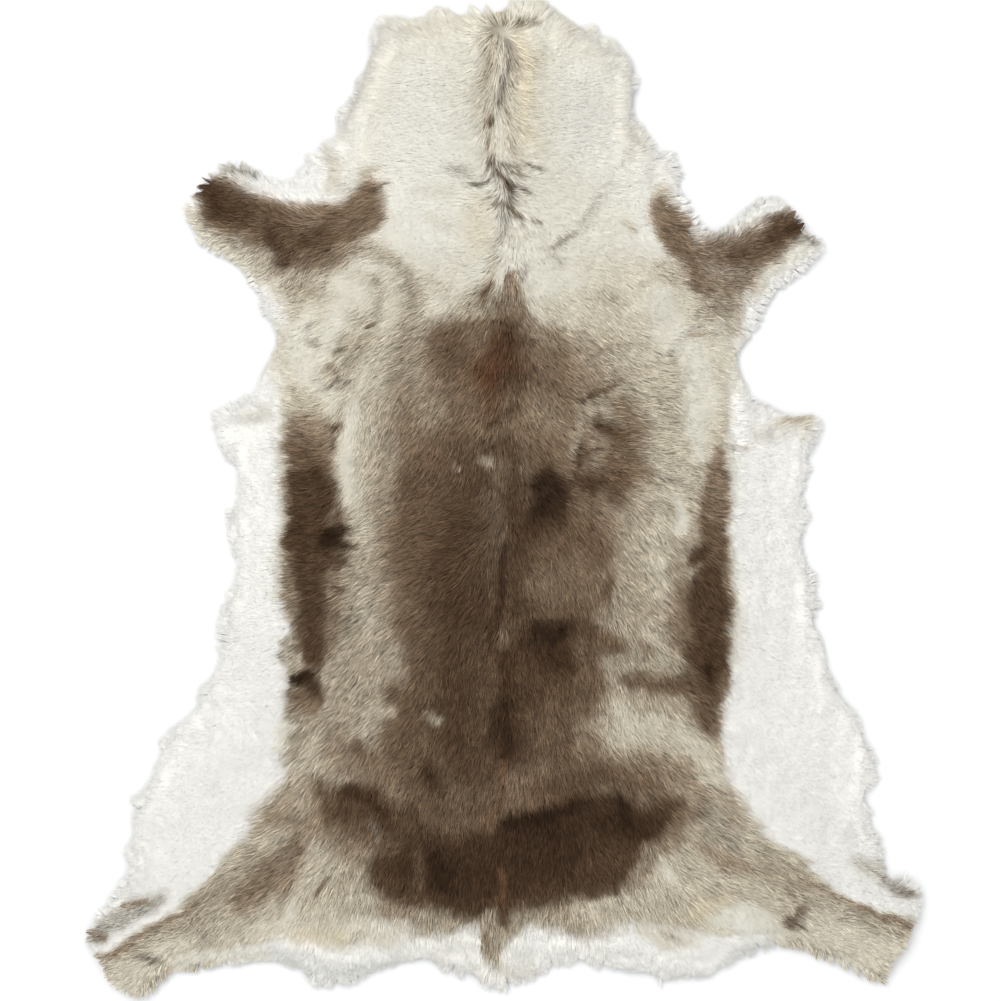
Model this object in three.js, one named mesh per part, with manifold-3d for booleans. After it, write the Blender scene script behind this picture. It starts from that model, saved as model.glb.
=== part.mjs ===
// A whole reindeer hide, spread flat on the floor with its hair side up.
// Millimetres, +Z up. The neck end points along +Y, and the origin is on the floor,
// under the middle of the hide's length and width. The solid is the tanned skin together with
// the hair that lies on it: its underside is the skin, and its top is the surface of the hair.
import * as THREE from "three";
import { mergeVertices } from "three/addons/utils/BufferGeometryUtils.js";
import Module from "manifold-3d";

// Driving sizes
const RIM_DEPTH = 6; // skin and thin hair at the very rim
const PILE_DEPTH = 16; // skin and lying hair over the flanks, well inside the rim
const RIM_SLOPE = 65; // distance inside the rim at which the hair reaches its full depth
const THINNEST = 5; // nowhere is the hide thinner than this
const CELL = 25; // side of one square of the surface
const RIM_STEP = 16; // longest straight piece of the rim

// The rim, clockwise as seen from above. Each row is one smooth curve through its points, and it
// ends in a corner at the first point of the next row.
const RIM = [
  {
    edge: "neck end",
    through: [[-157, 600], [-97, 596], [-50, 607], [0, 612], [45, 625], [85, 600], [130, 566]],
  },
  { edge: "right of the neck", through: [[162, 554], [162, 500], [162, 462], [182, 438]] },
  {
    edge: "right shoulder",
    through: [[211, 428], [219, 410], [214, 394], [230, 368], [255, 337], [285, 340], [304, 366]],
  },
  { edge: "cut end of the right foreleg", through: [[344, 383], [372, 358], [384, 335]] },
  {
    edge: "below the right foreleg",
    through: [
      [405, 326], [396, 306], [342, 259], [309, 205], [292, 178], [303, 148], [303, 122], [350, 106],
    ],
  },
  {
    edge: "right belly",
    through: [[397, 97], [376, 52], [378, 36], [368, 4], [378, -30], [371, -55], [384, -112]],
  },
  {
    edge: "right of the groin",
    through: [[388, -155], [398, -170], [409, -228], [438, -268], [452, -300], [458, -332], [451, -400]],
  },
  { edge: "above the right hind leg", through: [[477, -440], [468, -458], [485, -473]] },
  {
    edge: "cut end of the right hind leg",
    through: [[512, -476], [527, -494], [519, -522], [508, -555], [486, -590]],
  },
  {
    edge: "below the right hind leg",
    through: [[481, -610], [450, -598], [420, -581], [362, -561], [300, -563]],
  },
  { edge: "hem right of the tail", through: [[262, -592], [225, -594], [150, -586], [80, -572]] },
  { edge: "tail", through: [[50, -574], [44, -595], [5, -600], [-18, -612], [-40, -586], [-62, -586]] },
  { edge: "hem left of the tail", through: [[-72, -572], [-120, -575], [-165, -588], [-212, -598]] },
  { edge: "left haunch", through: [[-236, -606], [-256, -581], [-340, -580], [-398, -591]] },
  { edge: "below the left hind leg", through: [[-411, -588], [-428, -605], [-438, -617]] },
  {
    edge: "cut end of the left hind leg",
    through: [[-453, -625], [-484, -608], [-504, -578], [-512, -558]],
  },
  { edge: "above the left hind leg", through: [[-527, -545], [-498, -514], [-474, -480], [-464, -456]] },
  {
    edge: "left of the groin",
    through: [[-483, -442], [-455, -424], [-450, -385], [-426, -335], [-410, -288], [-376, -258]],
  },
  {
    edge: "left belly",
    through: [[-368, -236], [-350, -195], [-340, -125], [-329, -75], [-333, -32], [-326, 0], [-333, 50]],
  },
  {
    edge: "behind the left foreleg",
    through: [
      [-358, 73], [-354, 98], [-308, 130], [-297, 165], [-277, 203], [-299, 238], [-304, 262], [-335, 296],
    ],
  },
  { edge: "below the left foreleg", through: [[-381, 320], [-386, 338]] },
  { edge: "cut end of the left foreleg", through: [[-404, 361], [-386, 383], [-367, 405]] },
  { edge: "above the left foreleg", through: [[-345, 429], [-312, 414], [-285, 401]] },
  { edge: "left shoulder", through: [[-250, 398], [-246, 416], [-226, 436]] },
  { edge: "left of the neck", through: [[-206, 445], [-194, 478], [-177, 512], [-163, 555]] },
];

// Soft oval mounds, where the hair is deeper (or, with a minus, shorter) than PILE_DEPTH.
const MOUNDS = [
  { place: "neck, left half", x: -85, y: 500, halfWidth: 120, halfLength: 150, rise: 10 },
  { place: "neck, right half", x: 95, y: 490, halfWidth: 115, halfLength: 150, rise: 10 },
  { place: "withers", x: 30, y: 340, halfWidth: 170, halfLength: 110, rise: 5 },
  { place: "back, front half", x: -10, y: 120, halfWidth: 210, halfLength: 230, rise: 7 },
  { place: "back, rear half", x: 0, y: -200, halfWidth: 230, halfLength: 240, rise: 7 },
  { place: "rump, left half", x: -110, y: -410, halfWidth: 190, halfLength: 110, rise: 7 },
  { place: "rump, right half", x: 110, y: -415, halfWidth: 190, halfLength: 110, rise: 7 },
  { place: "left flank", x: -245, y: -60, halfWidth: 70, halfLength: 260, rise: 3 },
  { place: "right flank", x: 258, y: -90, halfWidth: 70, halfLength: 260, rise: 3 },
  { place: "left foreleg", x: -350, y: 365, halfWidth: 90, halfLength: 60, rise: -6 },
  { place: "right foreleg", x: 355, y: 325, halfWidth: 90, halfLength: 60, rise: -6 },
  { place: "left hind leg", x: -450, y: -545, halfWidth: 110, halfLength: 80, rise: -6 },
  { place: "right hind leg", x: 460, y: -530, halfWidth: 110, halfLength: 80, rise: -6 },
];

// Long soft ridges of the lying hair, and troughs (rise below zero) where it parts or the skin bends.
const FOLDS = [
  { place: "parting down the neck", from: [8, 600], to: [0, 400], halfWidth: 34, rise: -4 },
  { place: "whorl at the withers", from: [0, 395], to: [30, 350], halfWidth: 40, rise: -4 },
  { place: "parting down the spine", from: [-4, -15], to: [-6, -200], halfWidth: 34, rise: -4 },
  { place: "bend below the right shoulder", from: [120, 130], to: [285, 350], halfWidth: 30, rise: 3 },
  { place: "hollow behind the left shoulder", from: [-170, 215], to: [-285, 110], halfWidth: 32, rise: -3 },
  { place: "hollow in the left flank", from: [-195, -35], to: [-200, -75], halfWidth: 38, rise: -4 },
  { place: "ridge of the saddle", from: [-70, -372], to: [165, -412], halfWidth: 40, rise: 4 },
  { place: "left edge of the saddle", from: [-190, -375], to: [-215, -400], halfWidth: 40, rise: 3 },
  { place: "bend across the right groin", from: [300, -305], to: [455, -455], halfWidth: 34, rise: 4 },
  { place: "bend across the left groin", from: [-290, -300], to: [-470, -440], halfWidth: 34, rise: 3 },
  { place: "tail", from: [-8, -520], to: [-12, -596], halfWidth: 34, rise: 4 },
];

// Where the skin itself stands a little off the floor. Everywhere else it lies flat.
const LIFTS = [
  { place: "end of the left foreleg", x: -392, y: 372, reach: 75, lift: 7 },
  { place: "end of the right foreleg", x: 388, y: 342, reach: 75, lift: 6 },
  { place: "end of the left hind leg", x: -492, y: -590, reach: 90, lift: 8 },
  { place: "end of the right hind leg", x: 512, y: -548, reach: 85, lift: 6 },
  { place: "left corner of the neck", x: -160, y: 600, reach: 70, lift: 5 },
  { place: "right corner of the neck", x: 165, y: 540, reach: 80, lift: 4 },
  { place: "right point of the belly", x: 400, y: 95, reach: 65, lift: 4 },
];

// 1 in the middle, falling smoothly to 0 at one and beyond.
function fade(distance) {
  const t = Math.min(Math.max(distance, 0), 1);
  return 1 - t * t * (3 - 2 * t);
}

// How far (x, y) is from the straight piece between two points.
function distanceToPiece(x, y, [x1, y1], [x2, y2]) {
  const dx = x2 - x1;
  const dy = y2 - y1;
  const along = ((x - x1) * dx + (y - y1) * dy) / (dx * dx + dy * dy);
  const t = Math.min(Math.max(along, 0), 1);
  return Math.hypot(x - x1 - t * dx, y - y1 - t * dy);
}

// The rim's corners and curves as one closed list of points, with its middle moved to the origin.
function rimPoints() {
  const points = RIM.flatMap(({ through }, row) => {
    const corner = RIM[(row + 1) % RIM.length].through[0];
    const knots = [...through, corner].map(([x, y]) => new THREE.Vector3(x, y, 0));
    const curve = new THREE.CatmullRomCurve3(knots, false, "centripetal");
    const steps = Math.ceil(curve.getLength() / RIM_STEP);
    return curve.getSpacedPoints(steps).slice(0, steps);
  });
  const middle = new THREE.Box3().setFromPoints(points).getCenter(new THREE.Vector3());
  return points.map((point) => [point.x - middle.x, point.y - middle.y]);
}

const rim = rimPoints();

function distanceToRim(x, y) {
  return Math.min(...rim.map((point, i) => distanceToPiece(x, y, point, rim[(i + 1) % rim.length])));
}

// Height of the skin's underside above the floor.
function undersideAt(x, y) {
  const lifts = LIFTS.map((spot) => spot.lift * fade(Math.hypot(x - spot.x, y - spot.y) / spot.reach));
  return Math.max(...lifts);
}

// Depth of skin and hair together.
function depthAt(x, y) {
  let depth = PILE_DEPTH;
  for (const mound of MOUNDS) {
    const away = Math.hypot((x - mound.x) / mound.halfWidth, (y - mound.y) / mound.halfLength);
    depth += mound.rise * fade(away);
  }
  for (const fold of FOLDS) {
    depth += fold.rise * fade(distanceToPiece(x, y, fold.from, fold.to) / fold.halfWidth);
  }
  const inward = 1 - fade(distanceToRim(x, y) / RIM_SLOPE);
  return Math.max(RIM_DEPTH + (depth - RIM_DEPTH) * inward, THINNEST);
}

// A rectangular slab in squares, larger than the hide, with the hide's underside and hair surface.
function slab() {
  const box = new THREE.Box2().setFromPoints(rim.map(([x, y]) => new THREE.Vector2(x, y)));
  const columns = Math.ceil(box.max.x / CELL) + 1;
  const rows = Math.ceil(box.max.y / CELL) + 1;
  const across = 2 * columns + 1;
  const points = { under: [], over: [] };
  for (let row = -rows; row <= rows; row++) {
    for (let column = -columns; column <= columns; column++) {
      const x = column * CELL;
      const y = row * CELL;
      const under = undersideAt(x, y);
      points.under.push(x, y, under);
      points.over.push(x, y, under + depthAt(x, y));
    }
  }
  const overStart = points.under.length / 3;
  const faces = [];
  const quad = (a, b, c, d) => faces.push(a, b, c, a, c, d);
  const at = (column, row) => row * across + column;
  const lastColumn = across - 1;
  const lastRow = 2 * rows;
  for (let row = 0; row < lastRow; row++) {
    for (let column = 0; column < lastColumn; column++) {
      const corners = [at(column, row), at(column + 1, row), at(column + 1, row + 1), at(column, row + 1)];
      quad(...corners.map((corner) => corner + overStart));
      quad(...corners.reverse());
    }
  }
  const wall = (a, b) => quad(a, b, b + overStart, a + overStart);
  for (let column = 0; column < lastColumn; column++) {
    wall(at(column, 0), at(column + 1, 0));
    wall(at(column + 1, lastRow), at(column, lastRow));
  }
  for (let row = 0; row < lastRow; row++) {
    wall(at(0, row + 1), at(0, row));
    wall(at(lastColumn, row), at(lastColumn, row + 1));
  }
  const geometry = new THREE.BufferGeometry();
  geometry.setAttribute("position", new THREE.Float32BufferAttribute([...points.under, ...points.over], 3));
  return geometry.setIndex(faces);
}

// The hide's outline as an upright wall around it, from well below the floor to well above the hair.
function cutter() {
  const clearance = 50;
  const outline = new THREE.Shape(rim.map(([x, y]) => new THREE.Vector2(x, y)));
  const geometry = new THREE.ExtrudeGeometry(outline, { depth: 2 * clearance, bevelEnabled: false });
  return geometry.translate(0, 0, -clearance);
}

const wasm = await Module();
wasm.setup();

function solidFrom(geometry) {
  const bare = new THREE.BufferGeometry();
  bare.setAttribute("position", geometry.getAttribute("position"));
  bare.setIndex(geometry.index);
  const merged = mergeVertices(bare);
  return new wasm.Manifold(
    new wasm.Mesh({
      numProp: 3,
      vertProperties: merged.getAttribute("position").array,
      triVerts: new Uint32Array(merged.index.array),
    }),
  );
}

function geometryFrom(solid) {
  const { vertProperties, triVerts } = solid.getMesh();
  const geometry = new THREE.BufferGeometry();
  geometry.setAttribute("position", new THREE.BufferAttribute(vertProperties, 3));
  geometry.setIndex(new THREE.BufferAttribute(triVerts, 1));
  geometry.computeVertexNormals();
  return geometry;
}

const hair = new THREE.MeshStandardMaterial({ color: "#a99b87", roughness: 0.9, metalness: 0 });
const hide = new THREE.Mesh(geometryFrom(solidFrom(slab()).intersect(solidFrom(cutter()))), hair);
hide.name = "hide";

const group = new THREE.Group();
group.add(hide);

export default group;
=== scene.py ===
# %% [markdown]
# # A reindeer hide, hair side up
# A tanned reindeer hide is one piece of leather with the animal's coat still on it. It has no seams, lining
# or backing, so there are only three layers to make: the leather, the dense wool under the coat, and
# the guard hair on top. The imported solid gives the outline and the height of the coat, and every layer
# here is worked out from that solid, so nothing has to be fitted afterwards.

# %% Load the frame
import math

import bpy
import numpy as np
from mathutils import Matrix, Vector
from mathutils.bvhtree import BVHTree


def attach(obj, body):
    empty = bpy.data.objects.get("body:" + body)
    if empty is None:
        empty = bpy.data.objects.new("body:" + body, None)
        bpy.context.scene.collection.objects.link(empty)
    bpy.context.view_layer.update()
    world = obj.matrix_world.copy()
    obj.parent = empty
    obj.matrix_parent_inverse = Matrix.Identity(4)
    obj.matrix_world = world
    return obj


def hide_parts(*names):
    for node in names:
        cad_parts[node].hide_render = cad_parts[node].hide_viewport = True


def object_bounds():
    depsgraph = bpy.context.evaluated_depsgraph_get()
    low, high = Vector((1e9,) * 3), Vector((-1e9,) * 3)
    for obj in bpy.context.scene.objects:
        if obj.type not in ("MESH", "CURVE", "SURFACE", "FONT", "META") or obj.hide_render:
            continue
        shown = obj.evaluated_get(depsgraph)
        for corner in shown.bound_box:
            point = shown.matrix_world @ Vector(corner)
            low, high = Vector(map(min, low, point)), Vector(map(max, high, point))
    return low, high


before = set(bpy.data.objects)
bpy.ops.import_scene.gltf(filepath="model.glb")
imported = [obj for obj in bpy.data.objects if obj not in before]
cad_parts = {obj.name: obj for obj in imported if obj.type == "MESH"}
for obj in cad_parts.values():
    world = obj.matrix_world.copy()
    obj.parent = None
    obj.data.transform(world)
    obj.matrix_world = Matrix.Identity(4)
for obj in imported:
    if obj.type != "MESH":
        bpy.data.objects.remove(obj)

CAD_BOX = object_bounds()
MM = 0.001
print("solid's box, m:", [tuple(round(c, 4) for c in corner) for corner in CAD_BOX])

# %% [markdown]
# ## Camera, floor and light
# A hide is best judged from straight above, as it lies on a floor. The camera looks down from far enough
# for a long lens, which keeps the legs from being drawn out at the edges of the picture. The light is one
# large soft panel at the neck's left and a pale sky, because hair shows its flow in light that comes
# from one side, and loses it in hard light.

# %% Camera
PICTURE_WIDTH = 1.25
LENS = 85
SENSOR = 36
VIEW_CENTRE = (-0.0019, -0.0006)
COAT_LEVEL = 0.015


def placed(name, data):
    """A new object that shows some data, linked into the scene."""
    made = bpy.data.objects.new(name, data)
    bpy.context.scene.collection.objects.link(made)
    return made


def camera_above(centre, width, level):
    """A camera that looks straight down and takes in that width at that level."""
    data = bpy.data.cameras.new("camera")
    data.lens = LENS
    data.sensor_width = SENSOR
    camera = placed("camera", data)
    camera.location = (*centre, level + width * LENS / SENSOR)
    return camera


bpy.context.scene.camera = camera_above(VIEW_CENTRE, PICTURE_WIDTH, COAT_LEVEL)
print("camera height, m:", round(bpy.context.scene.camera.location.z, 3))

# %% Floor and light
FLOOR_HALF = 12
FLOOR_PAINT = {"Base Color": (0.80, 0.80, 0.795, 1), "Roughness": 0.9}
PANEL_SIZE = 2.6
PANEL_PLACE = Vector((-1.7, 2.0, 3.0))
PANEL_POWER = 86
SKY = {"Color": (0.98, 0.99, 1.0, 1), "Strength": 1.07}


def fill(tree, made, inputs):
    """Gives each named input of a node a value, or a wire from another node's output."""
    for name, value in inputs.items():
        if isinstance(value, bpy.types.NodeSocket):
            tree.links.new(value, made.inputs[name])
        else:
            made.inputs[name].default_value = value


def material(name, inputs):
    """A material with one shader, and its tree and shader to build on."""
    made = bpy.data.materials.new(name)
    made.use_nodes = True
    shader = made.node_tree.nodes["Principled BSDF"]
    fill(made.node_tree, shader, inputs)
    return made, made.node_tree, shader


def pale_floor():
    """A wide flat floor at the level that the hide lies on."""
    corners = [(a * FLOOR_HALF, b * FLOOR_HALF, 0) for a, b in ((-1, -1), (1, -1), (1, 1), (-1, 1))]
    mesh = bpy.data.meshes.new("floor")
    mesh.from_pydata(corners, [], [(0, 1, 2, 3)])
    mesh.materials.append(material("floor_paint", FLOOR_PAINT)[0])
    floor = placed("floor", mesh)


def soft_panel():
    """A square area light that faces the middle of the hide."""
    data = bpy.data.lights.new("soft_panel", "AREA")
    data.size = PANEL_SIZE
    data.energy = PANEL_POWER
    panel = placed("soft_panel", data)
    panel.location = PANEL_PLACE
    panel.rotation_euler = (-PANEL_PLACE).to_track_quat("-Z", "Y").to_euler()


def pale_sky():
    """An even sky that fills the shadows."""
    world = bpy.data.worlds.new("sky")
    world.use_nodes = True
    fill(world.node_tree, world.node_tree.nodes["Background"], SKY)
    bpy.context.scene.world = world


pale_floor()
soft_panel()
pale_sky()
bpy.context.scene.view_settings.view_transform = "Standard"
print("floor, panel and sky are in place")

# %% [markdown]
# ## Reading the solid
# The solid is a closed shell of triangles: flat facets above and below, and an upright wall round the rim.
# Three maps on a fine square grid say all that the coat needs: how far a place is inside the rim, and how
# high the solid's underside and top are there. Rays shot down and up give the heights, and the wall's foot
# gives the rim. Working in millimetres from here on keeps the numbers easy to read.

# %% Maps of the solid
GRID = 5.0
MARGIN = 60.0
WALL_SLOPE = 0.2
FAR = 1e9
TINY = 1e-9

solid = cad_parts["hide"].data
loose = np.array([v.co for v in solid.vertices]) / MM
faces = np.array([tuple(p.vertices) for p in solid.polygons])
points, merged = np.unique(np.round(loose, 2), axis=0, return_inverse=True)
faces = merged.reshape(-1)[faces]


def facing(points, faces):
    """How far each triangle faces up: 1 is level, 0 is upright and -1 is level and facing down."""
    a, b, c = (points[faces[:, k]] for k in range(3))
    normal = np.cross(b - a, c - a)
    return normal[:, 2] / np.maximum(np.linalg.norm(normal, axis=1), TINY)


def rim_edges(points, faces):
    """The edges between the upright wall and the underside, as pairs of points seen from above."""
    up = facing(points, faces)
    sides = {}
    for index, face in enumerate(faces):
        for a, b in ((0, 1), (1, 2), (2, 0)):
            sides.setdefault(frozenset((face[a], face[b])), []).append(up[index])
    found = []
    for edge, ups in sides.items():
        if min(ups) < -WALL_SLOPE and abs(max(ups)) < WALL_SLOPE:
            found.append([points[k][:2] for k in edge])
    return np.array(found)


def to_line(x, y, start, end):
    """How far places are from a straight line, and the share of its length at the nearest point."""
    dx, dy = end[0] - start[0], end[1] - start[1]
    square = max(dx * dx + dy * dy, TINY)
    share = np.clip(((x - start[0]) * dx + (y - start[1]) * dy) / square, 0, 1)
    return np.hypot(x - start[0] - share * dx, y - start[1] - share * dy), share


def rim_distance(x, y, edges):
    """How far places are inside the rim, in mm, and below 0 outside it."""
    nearest = np.full(x.shape, FAR)
    inside = np.zeros(x.shape, bool)
    for start, end in edges:
        (ax, ay), (bx, by) = start, end
        nearest = np.minimum(nearest, to_line(x, y, start, end)[0])
        if ay != by:
            inside ^= ((y < ay) != (y < by)) & (x < ax + (y - ay) * (bx - ax) / (by - ay))
    return np.where(inside, nearest, -nearest)


half = np.array([max(-CAD_BOX[0][k], CAD_BOX[1][k]) for k in range(2)]) / MM + MARGIN
columns, rows = (np.arange(-most, most + GRID, GRID) for most in half)
grid_x, grid_y = np.meshgrid(columns, rows)
rim_lines = rim_edges(points, faces)
inset_map = rim_distance(grid_x, grid_y, rim_lines)
print("maps:", grid_x.shape, "rim edges:", len(rim_lines))

# %% Heights of the solid
RAY_ROOM = 0.2
RAY_START = 999
SPREAD_STEPS = 12
SMOOTH_STEPS = 3
OWN_WEIGHT = 4
LAST_CELL = 1.001


def ray_heights(inset):
    """The solid's lowest and highest level at each place of the grid, in mm, and 0 off it."""
    tree = BVHTree.FromPolygons([Vector(p) for p in points], faces.tolist())
    low, high = np.zeros(inset.shape), np.zeros(inset.shape)
    for place in np.argwhere(inset > RAY_ROOM):
        at = tuple(place)
        for level, side in ((low, -1), (high, 1)):
            start = Vector((grid_x[at], grid_y[at], RAY_START * side))
            level[at] = tree.ray_cast(start, Vector((0, 0, -side)))[0].z
    return low, high


def neighbours(values):
    """The sum of a map's four neighbours at each place."""
    total = np.zeros(values.shape)
    total[1:] += values[:-1]
    total[:-1] += values[1:]
    total[:, 1:] += values[:, :-1]
    total[:, :-1] += values[:, 1:]
    return total


def spread_and_smooth(values, known):
    """Carries a map past its edge, then rounds off the facets."""
    known = known.astype(float)
    values = values * known
    for _ in range(SPREAD_STEPS):
        count = neighbours(known)
        new = (known == 0) & (count > 0)
        values[new] = neighbours(values)[new] / count[new]
        known[new] = 1
    for _ in range(SMOOTH_STEPS):
        mixed = values * OWN_WEIGHT + neighbours(values * known)
        values = np.where(known > 0, mixed / (OWN_WEIGHT + neighbours(known)), 0)
    return values


low_map, high_map = (spread_and_smooth(m, inset_map > RAY_ROOM) for m in ray_heights(inset_map))
out_y, out_x = np.gradient(-inset_map, GRID)
print("highest, mm:", round(high_map.max(), 1), "highest underside, mm:", round(low_map.max(), 1))


def read_map(values, x, y):
    """A map's value at any places, in mm, between its grid points."""
    u = np.clip((x - columns[0]) / GRID, 0, len(columns) - LAST_CELL)
    v = np.clip((y - rows[0]) / GRID, 0, len(rows) - LAST_CELL)
    i, j = u.astype(int), v.astype(int)
    a, b = u - i, v - j
    low = values[j, i] * (1 - a) + values[j, i + 1] * a
    high = values[j + 1, i] * (1 - a) + values[j + 1, i + 1] * a
    return low * (1 - b) + high * b


# %% [markdown]
# ## The colours of the coat
# Reindeer hair is grey-brown on the back, near black on the flanks and rump, and white on the belly and the
# neck. Hair of one colour meets another in a ragged edge, because each hair keeps the colour of the
# place it grows from. So the colours are painted by place, as a furrier would describe them: each row below
# is one marking, a chain of soft round beads, laid over the rows before it. A few rows are painted shade
# and shadow instead: thin dark lines in creases of the coat, a hollow on the left flank and a darker band
# round the neck's rim. Tones are named once.

# %% Tones and markings
TONES = {
    "snow": (244, 242, 236),
    "milk": (237, 235, 227),
    "mist": (224, 223, 217),
    "cream": (228, 224, 210),
    "oat": (207, 200, 183),
    "straw": (208, 194, 165),
    "sand": (191, 182, 164),
    "pewter": (160, 153, 143),
    "slate": (106, 97, 88),
    "dun": (171, 160, 142),
    "ginger": (130, 100, 76),
    "ash": (150, 144, 132),
    "taupe": (147, 131, 112),
    "mushroom": (129, 111, 92),
    "brown": (109, 90, 72),
    "rust": (99, 71, 52),
    "umber": (84, 66, 50),
    "bark": (66, 49, 35),
    "peat": (47, 33, 21),
}

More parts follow.
